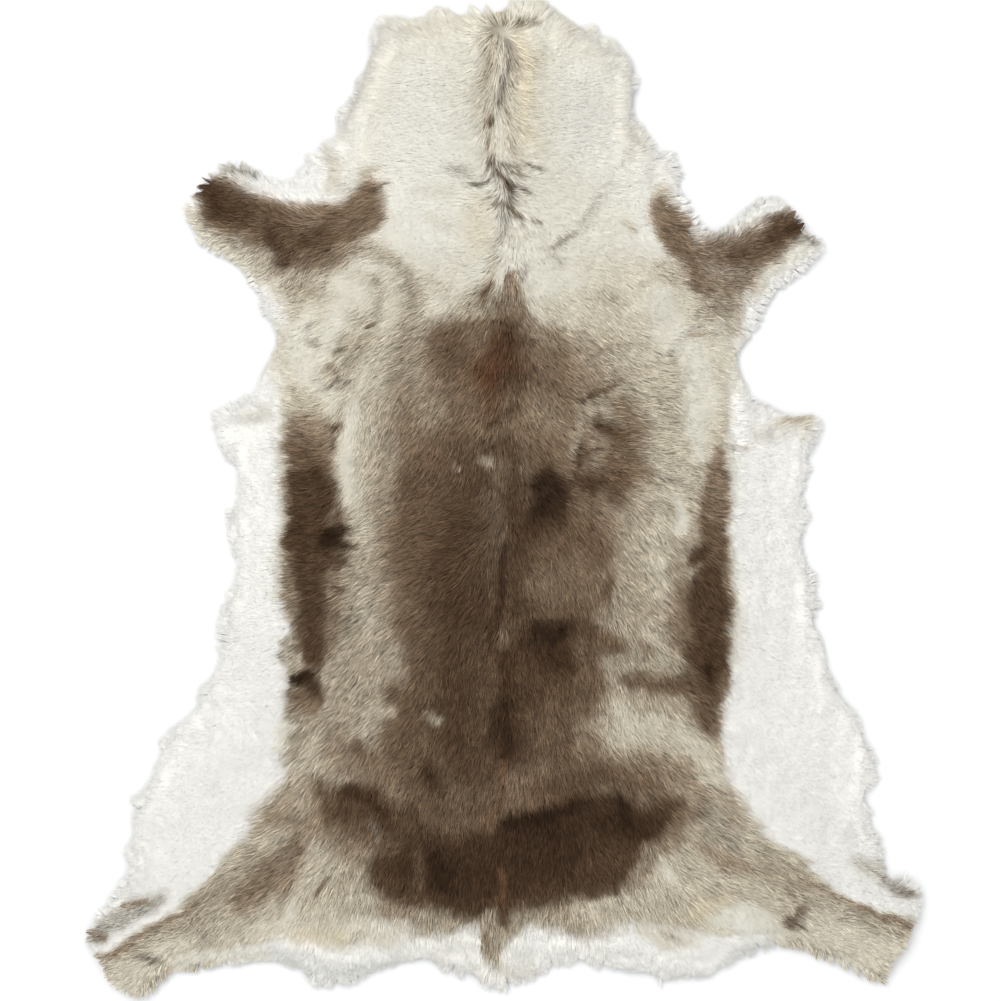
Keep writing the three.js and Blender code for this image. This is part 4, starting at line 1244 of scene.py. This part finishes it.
def grain(tree, scale, low, high, detail=2.0):
    """Fine noise in the piece's own space, spread between two values."""
    place = node(tree, "ShaderNodeTexCoord")["Object"]
    noise = node(tree, "ShaderNodeTexNoise", {"Vector": place, "Scale": scale, "Detail": detail})
    return ranged(tree, noise["Fac"], (0, 1), (low, high))


def blended(tree, kind, factor, a, b):
    """A blend of two colours or vectors."""
    return node(tree, "ShaderNodeMix", {"Factor": factor, "A": a, "B": b}, data_type=kind)["Result"]


def shaded(tree, colour, factor):
    """A colour made lighter or darker by a factor that changes over the surface."""
    return node(tree, "ShaderNodeVectorMath", {0: colour, "Scale": factor}, operation="SCALE")["Vector"]


def carried(tree, name):
    """A value that the mesh carries for each of its points."""
    return node(tree, "ShaderNodeAttribute", attribute_name=name)


def soft_normal(tree, colour):
    """The surface's own direction turned upwards, more so in white hair, where the coat is silky."""
    own = node(tree, "ShaderNodeNewGeometry")["Normal"]
    up = node(tree, "ShaderNodeCombineXYZ", {"Z": 1.0})["Vector"]
    grey = node(tree, "ShaderNodeRGBToBW", {"Color": colour})["Val"]
    mixed = blended(tree, "VECTOR", ranged(tree, grey, SILKY_TONES, SILKY_SHARES), own, up)
    return node(tree, "ShaderNodeVectorMath", {0: mixed}, operation="NORMALIZE")["Vector"]


def hair_finish():
    """Guard hair: dark at the root and pale at the tip, partly its own colour and partly painted shade and
    light, each hair with its own two tones.
    """
    made, tree, shader = material("guard_hair", HAIR_BASE)
    root, tip = carried(tree, "root_tone")["Color"], carried(tree, "tip_tone")["Color"]
    tone = blended(tree, "RGBA", carried(tree, "along")["Fac"], root, tip)
    fill(tree, shader, {
        "Base Color": shaded(tree, tone, grain(tree, *HAIR_GRAIN)),
        "Roughness": grain(tree, *HAIR_ROUGHNESS),
        "Normal": soft_normal(tree, tone),
    })
    return made


guard_hair = hair_finish()
print("finish:", guard_hair.name)

# %% The Geometry Nodes tree
TREE_INPUTS = {
    "Geometry": "Geometry",
    "Kites": "Collection",
    "Hair width": "Float",
    "Roll": "Float",
    "Seed": "Int",
    "Finish": "Material",
}
WIDTH_SPREAD = (0.72, 1.2)


def hair_tree():
    """A tree that puts one kite on each root and ends in one plain mesh, with its named inputs."""
    tree = bpy.data.node_groups.new("guard_hair", "GeometryNodeTree")
    tree.interface.new_socket("Geometry", in_out="OUTPUT", socket_type="NodeSocketGeometry")
    for name, kind in TREE_INPUTS.items():
        tree.interface.new_socket(name, in_out="INPUT", socket_type="NodeSocket" + kind)
    given = node(tree, "NodeGroupInput")

    def chance(low, high, offset):
        """A random value between two values, different for each hair."""
        seed = node(tree, "ShaderNodeMath", {0: given["Seed"], 1: offset}, operation="ADD")["Value"]
        limits = {"Min": low, "Max": high, "Seed": seed}
        return node(tree, "FunctionNodeRandomValue", limits, data_type="FLOAT")["Value"]

    def times(a, b):
        """The product of two values."""
        return node(tree, "ShaderNodeMath", {0: a, 1: b}, operation="MULTIPLY")["Value"]

    def stored(name, kind):
        """A value that the roots carry."""
        return node(tree, "GeometryNodeInputNamedAttribute", {"Name": name}, data_type=kind)["Attribute"]

    def apart(name):
        """The three numbers of a vector that the roots carry."""
        return node(tree, "ShaderNodeSeparateXYZ", {"Vector": stored(name, "FLOAT_VECTOR")})

    def vector(x, y, z):
        """A vector of three numbers."""
        return node(tree, "ShaderNodeCombineXYZ", {"X": x, "Y": y, "Z": z})["Vector"]

    turned, size = apart("turn"), apart("size")
    roll = times(times(given["Roll"], turned["X"]), chance(-1, 1, 1))
    wide = times(times(given["Hair width"], chance(*WIDTH_SPREAD, 2)), size["Y"])
    angles = {"Euler": vector(roll, turned["Y"], turned["Z"])}
    choice = {"Collection": given["Kites"], "Separate Children": True, "Reset Children": True}
    choice = node(tree, "GeometryNodeCollectionInfo", choice, transform_space="ORIGINAL")
    spread = node(tree, "GeometryNodeInstanceOnPoints", {
        "Points": given["Geometry"],
        "Instance": choice["Instances"],
        "Pick Instance": True,
        "Instance Index": stored("kind", "INT"),
        "Rotation": node(tree, "FunctionNodeEulerToRotation", angles)["Rotation"],
        "Scale": vector(size["X"], wide, size["Z"]),
    })
    real = node(tree, "GeometryNodeRealizeInstances", {"Geometry": spread["Instances"]})
    dressed = {"Geometry": real["Geometry"], "Material": given["Finish"]}
    dressed = node(tree, "GeometryNodeSetMaterial", dressed)
    node(tree, "NodeGroupOutput", {"Geometry": dressed["Geometry"]})
    return tree


guard_tree = hair_tree()
print("tree nodes:", len(guard_tree.nodes))

# %% The coat in five bands
BANDS = ("hair_neck", "hair_shoulders", "hair_back", "hair_loin", "hair_rump")
HAIR_WIDTH = 1.2
ROLL = 32.0
SHORT_HAIR = 26.0
SHORT_WIDTH = 0.72
CALM_ROLL = 0.96
CALM_BEND = 0.7

run = np.hypot(tip_x - root_x, tip_y - root_y)
rise = tip_z - root_z
turns = [1 - CALM_ROLL * calm, -np.arctan2(rise, run), np.arctan2(tip_y - root_y, tip_x - root_x)]
fine = SHORT_WIDTH + (1 - SHORT_WIDTH) * np.clip(run / SHORT_HAIR, 0, 1)
hair_span = np.hypot(run, rise) * MM
sizes = [hair_span, fine, hair_span * (1 - CALM_BEND * calm)]
ROOT_VALUES = {
    "turn": ("FLOAT_VECTOR", np.stack(turns, 1)),
    "size": ("FLOAT_VECTOR", np.stack(sizes, 1)),
    "kind": ("INT", rng.integers(0, len(KITE_BENDS), hair_count)),
    "root_tone": ("FLOAT_COLOR", root_tone),
    "tip_tone": ("FLOAT_COLOR", tip_tone),
}


def roots_mesh(name, some):
    """The roots of some of the hairs as loose points that carry their hair's values."""
    mesh = bpy.data.meshes.new(name)
    mesh.vertices.add(len(some))
    places = np.stack([root_x, root_y, root_z], 1)[some] * MM
    mesh.vertices.foreach_set("co", places.astype(np.float32).reshape(-1))
    for label, (kind, values) in ROOT_VALUES.items():
        give(mesh, label, kind, values[some])
    return mesh


def grow(name, some, seed):
    """One band of the coat as a plain mesh."""
    roots = placed(name + "_roots", roots_mesh(name + "_roots", some))
    modifier = roots.modifiers.new("grow", "NODES")
    modifier.node_group = guard_tree
    values = {"Kites": kites, "Finish": guard_hair, "Seed": seed}
    values.update({"Hair width": HAIR_WIDTH * MM, "Roll": math.radians(ROLL)})
    for item in guard_tree.interface.items_tree:
        if item.in_out == "INPUT" and item.name in values:
            modifier[item.identifier] = values[item.name]
    shown = roots.evaluated_get(bpy.context.evaluated_depsgraph_get())
    mesh = bpy.data.meshes.new_from_object(shown)
    mesh.name = name
    bpy.data.objects.remove(roots)
    for spent in ("turn", "size", "kind"):
        mesh.attributes.remove(mesh.attributes[spent])
    mesh.shade_smooth()
    return placed(name, mesh)


ORDER = np.array_split(np.argsort(-root_y, kind="stable"), len(BANDS))
coat_bands = [grow(name, some, SEED + k) for k, (name, some) in enumerate(zip(BANDS, ORDER))]
for band in coat_bands:
    print(band.name, "triangles:", len(band.data.polygons), [a.name for a in band.data.attributes])

# %% [markdown]
# ### A place for each hair on the unwrapped map
# A baked model needs a map on which no two faces share a place. Unwrapping half a million loose kites by
# search would take very long, but the answer is plain: each hair gets its own small square cell.

# %% Hair map
CELL_FILL = 0.84
KITE_MAP = np.array([(0.5, 0.0), (0.0, 0.45), (1.0, 0.45), (0.5, 1.0)])


def map_hairs(piece):
    """Gives every kite of a band its own cell of the map."""
    mesh = piece.data
    corners = np.zeros(len(mesh.loops), int)
    mesh.loops.foreach_get("vertex_index", corners)
    hair, corner = np.divmod(corners, len(KITE_MAP))
    side = math.ceil(math.sqrt(len(mesh.vertices) / len(KITE_MAP)))
    cell = np.stack([hair % side, hair // side], 1)
    place = (cell + 0.5 + (KITE_MAP[corner] - 0.5) * CELL_FILL) / side
    layer_map = mesh.uv_layers.new(name="OFBake")
    layer_map.data.foreach_set("uv", place.astype(np.float32).reshape(-1))


for band in coat_bands:
    map_hairs(band)
print("maps:", [band.data.uv_layers[0].name for band in coat_bands])

# %% [markdown]
# ### Wool and leather finishes
# The wool takes the tone of the hair above it, darkened as painted shade of the depth under the hair, less
# so in white coat, and has a fine matted grain. The leather is tanned to a pale suede: dull, with a soft nap
# and a shallow uneven grain. A row of grain says its scale, its lowest and highest value and, where it
# matters, how much detail it has.

# %% Wool and leather
WOOL_BASE = {"Base Color": (0.3, 0.25, 0.2, 1), "Roughness": 0.9, "Specular IOR Level": 0.1}
WOOL_MATTING = (700.0, 0.6, 1.2, 4.0)
WOOL_ROUGHNESS = (175.0, 0.8, 1.0)
WOOL_BUMP = 0.5
SUEDE_DARK, SUEDE_PALE = (0.50, 0.40, 0.29, 1), (0.70, 0.61, 0.48, 1)
SUEDE_BASE = {"Base Color": SUEDE_PALE, "Roughness": 0.85, "Specular IOR Level": 0.2, "Sheen Weight": 0.3}
SUEDE_PATCHES = (28.0, 0.2, 1.0, 5.0)
SUEDE_ROUGHNESS = (84.0, 0.75, 0.95)
SUEDE_NAP = (900.0, 0.85, 1.1, 6.0)
SUEDE_BUMP = 0.25
BUMP_DEPTH = 0.0006


def dress(tree, shader, colour, height, roughness, strength):
    """Gives a shader a colour, shaded and bumped by a height that changes over the surface."""
    bump = {"Height": height, "Strength": strength, "Distance": BUMP_DEPTH}
    fill(tree, shader, {
        "Base Color": shaded(tree, colour, height),
        "Roughness": grain(tree, *roughness),
        "Normal": node(tree, "ShaderNodeBump", bump)["Normal"],
    })


def wool_finish():
    """Matted undercoat in the tone of the hair above it, with the painted shade that this tone carries."""
    made, tree, shader = material("wool", WOOL_BASE)
    matted = grain(tree, *WOOL_MATTING)
    dress(tree, shader, carried(tree, "tone")["Color"], matted, WOOL_ROUGHNESS, WOOL_BUMP)
    return made


def suede_finish():
    """Tanned leather with a dull nap."""
    made, tree, shader = material("suede", SUEDE_BASE)
    colour = blended(tree, "RGBA", grain(tree, *SUEDE_PATCHES), SUEDE_DARK, SUEDE_PALE)
    dress(tree, shader, colour, grain(tree, *SUEDE_NAP), SUEDE_ROUGHNESS, SUEDE_BUMP)
    return made


wool.data.materials.append(wool_finish())
skin.data.materials.append(suede_finish())
print("finishes:", [m.name for m in bpy.data.materials if m.users])

# %% [markdown]
# ## Fastening it to the frame
# The hide is one body, so every layer rides on it. The leather stands for the imported solid, which is
# hidden.

for piece in (skin, wool, *coat_bands):
    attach(piece, "root")
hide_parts("hide")
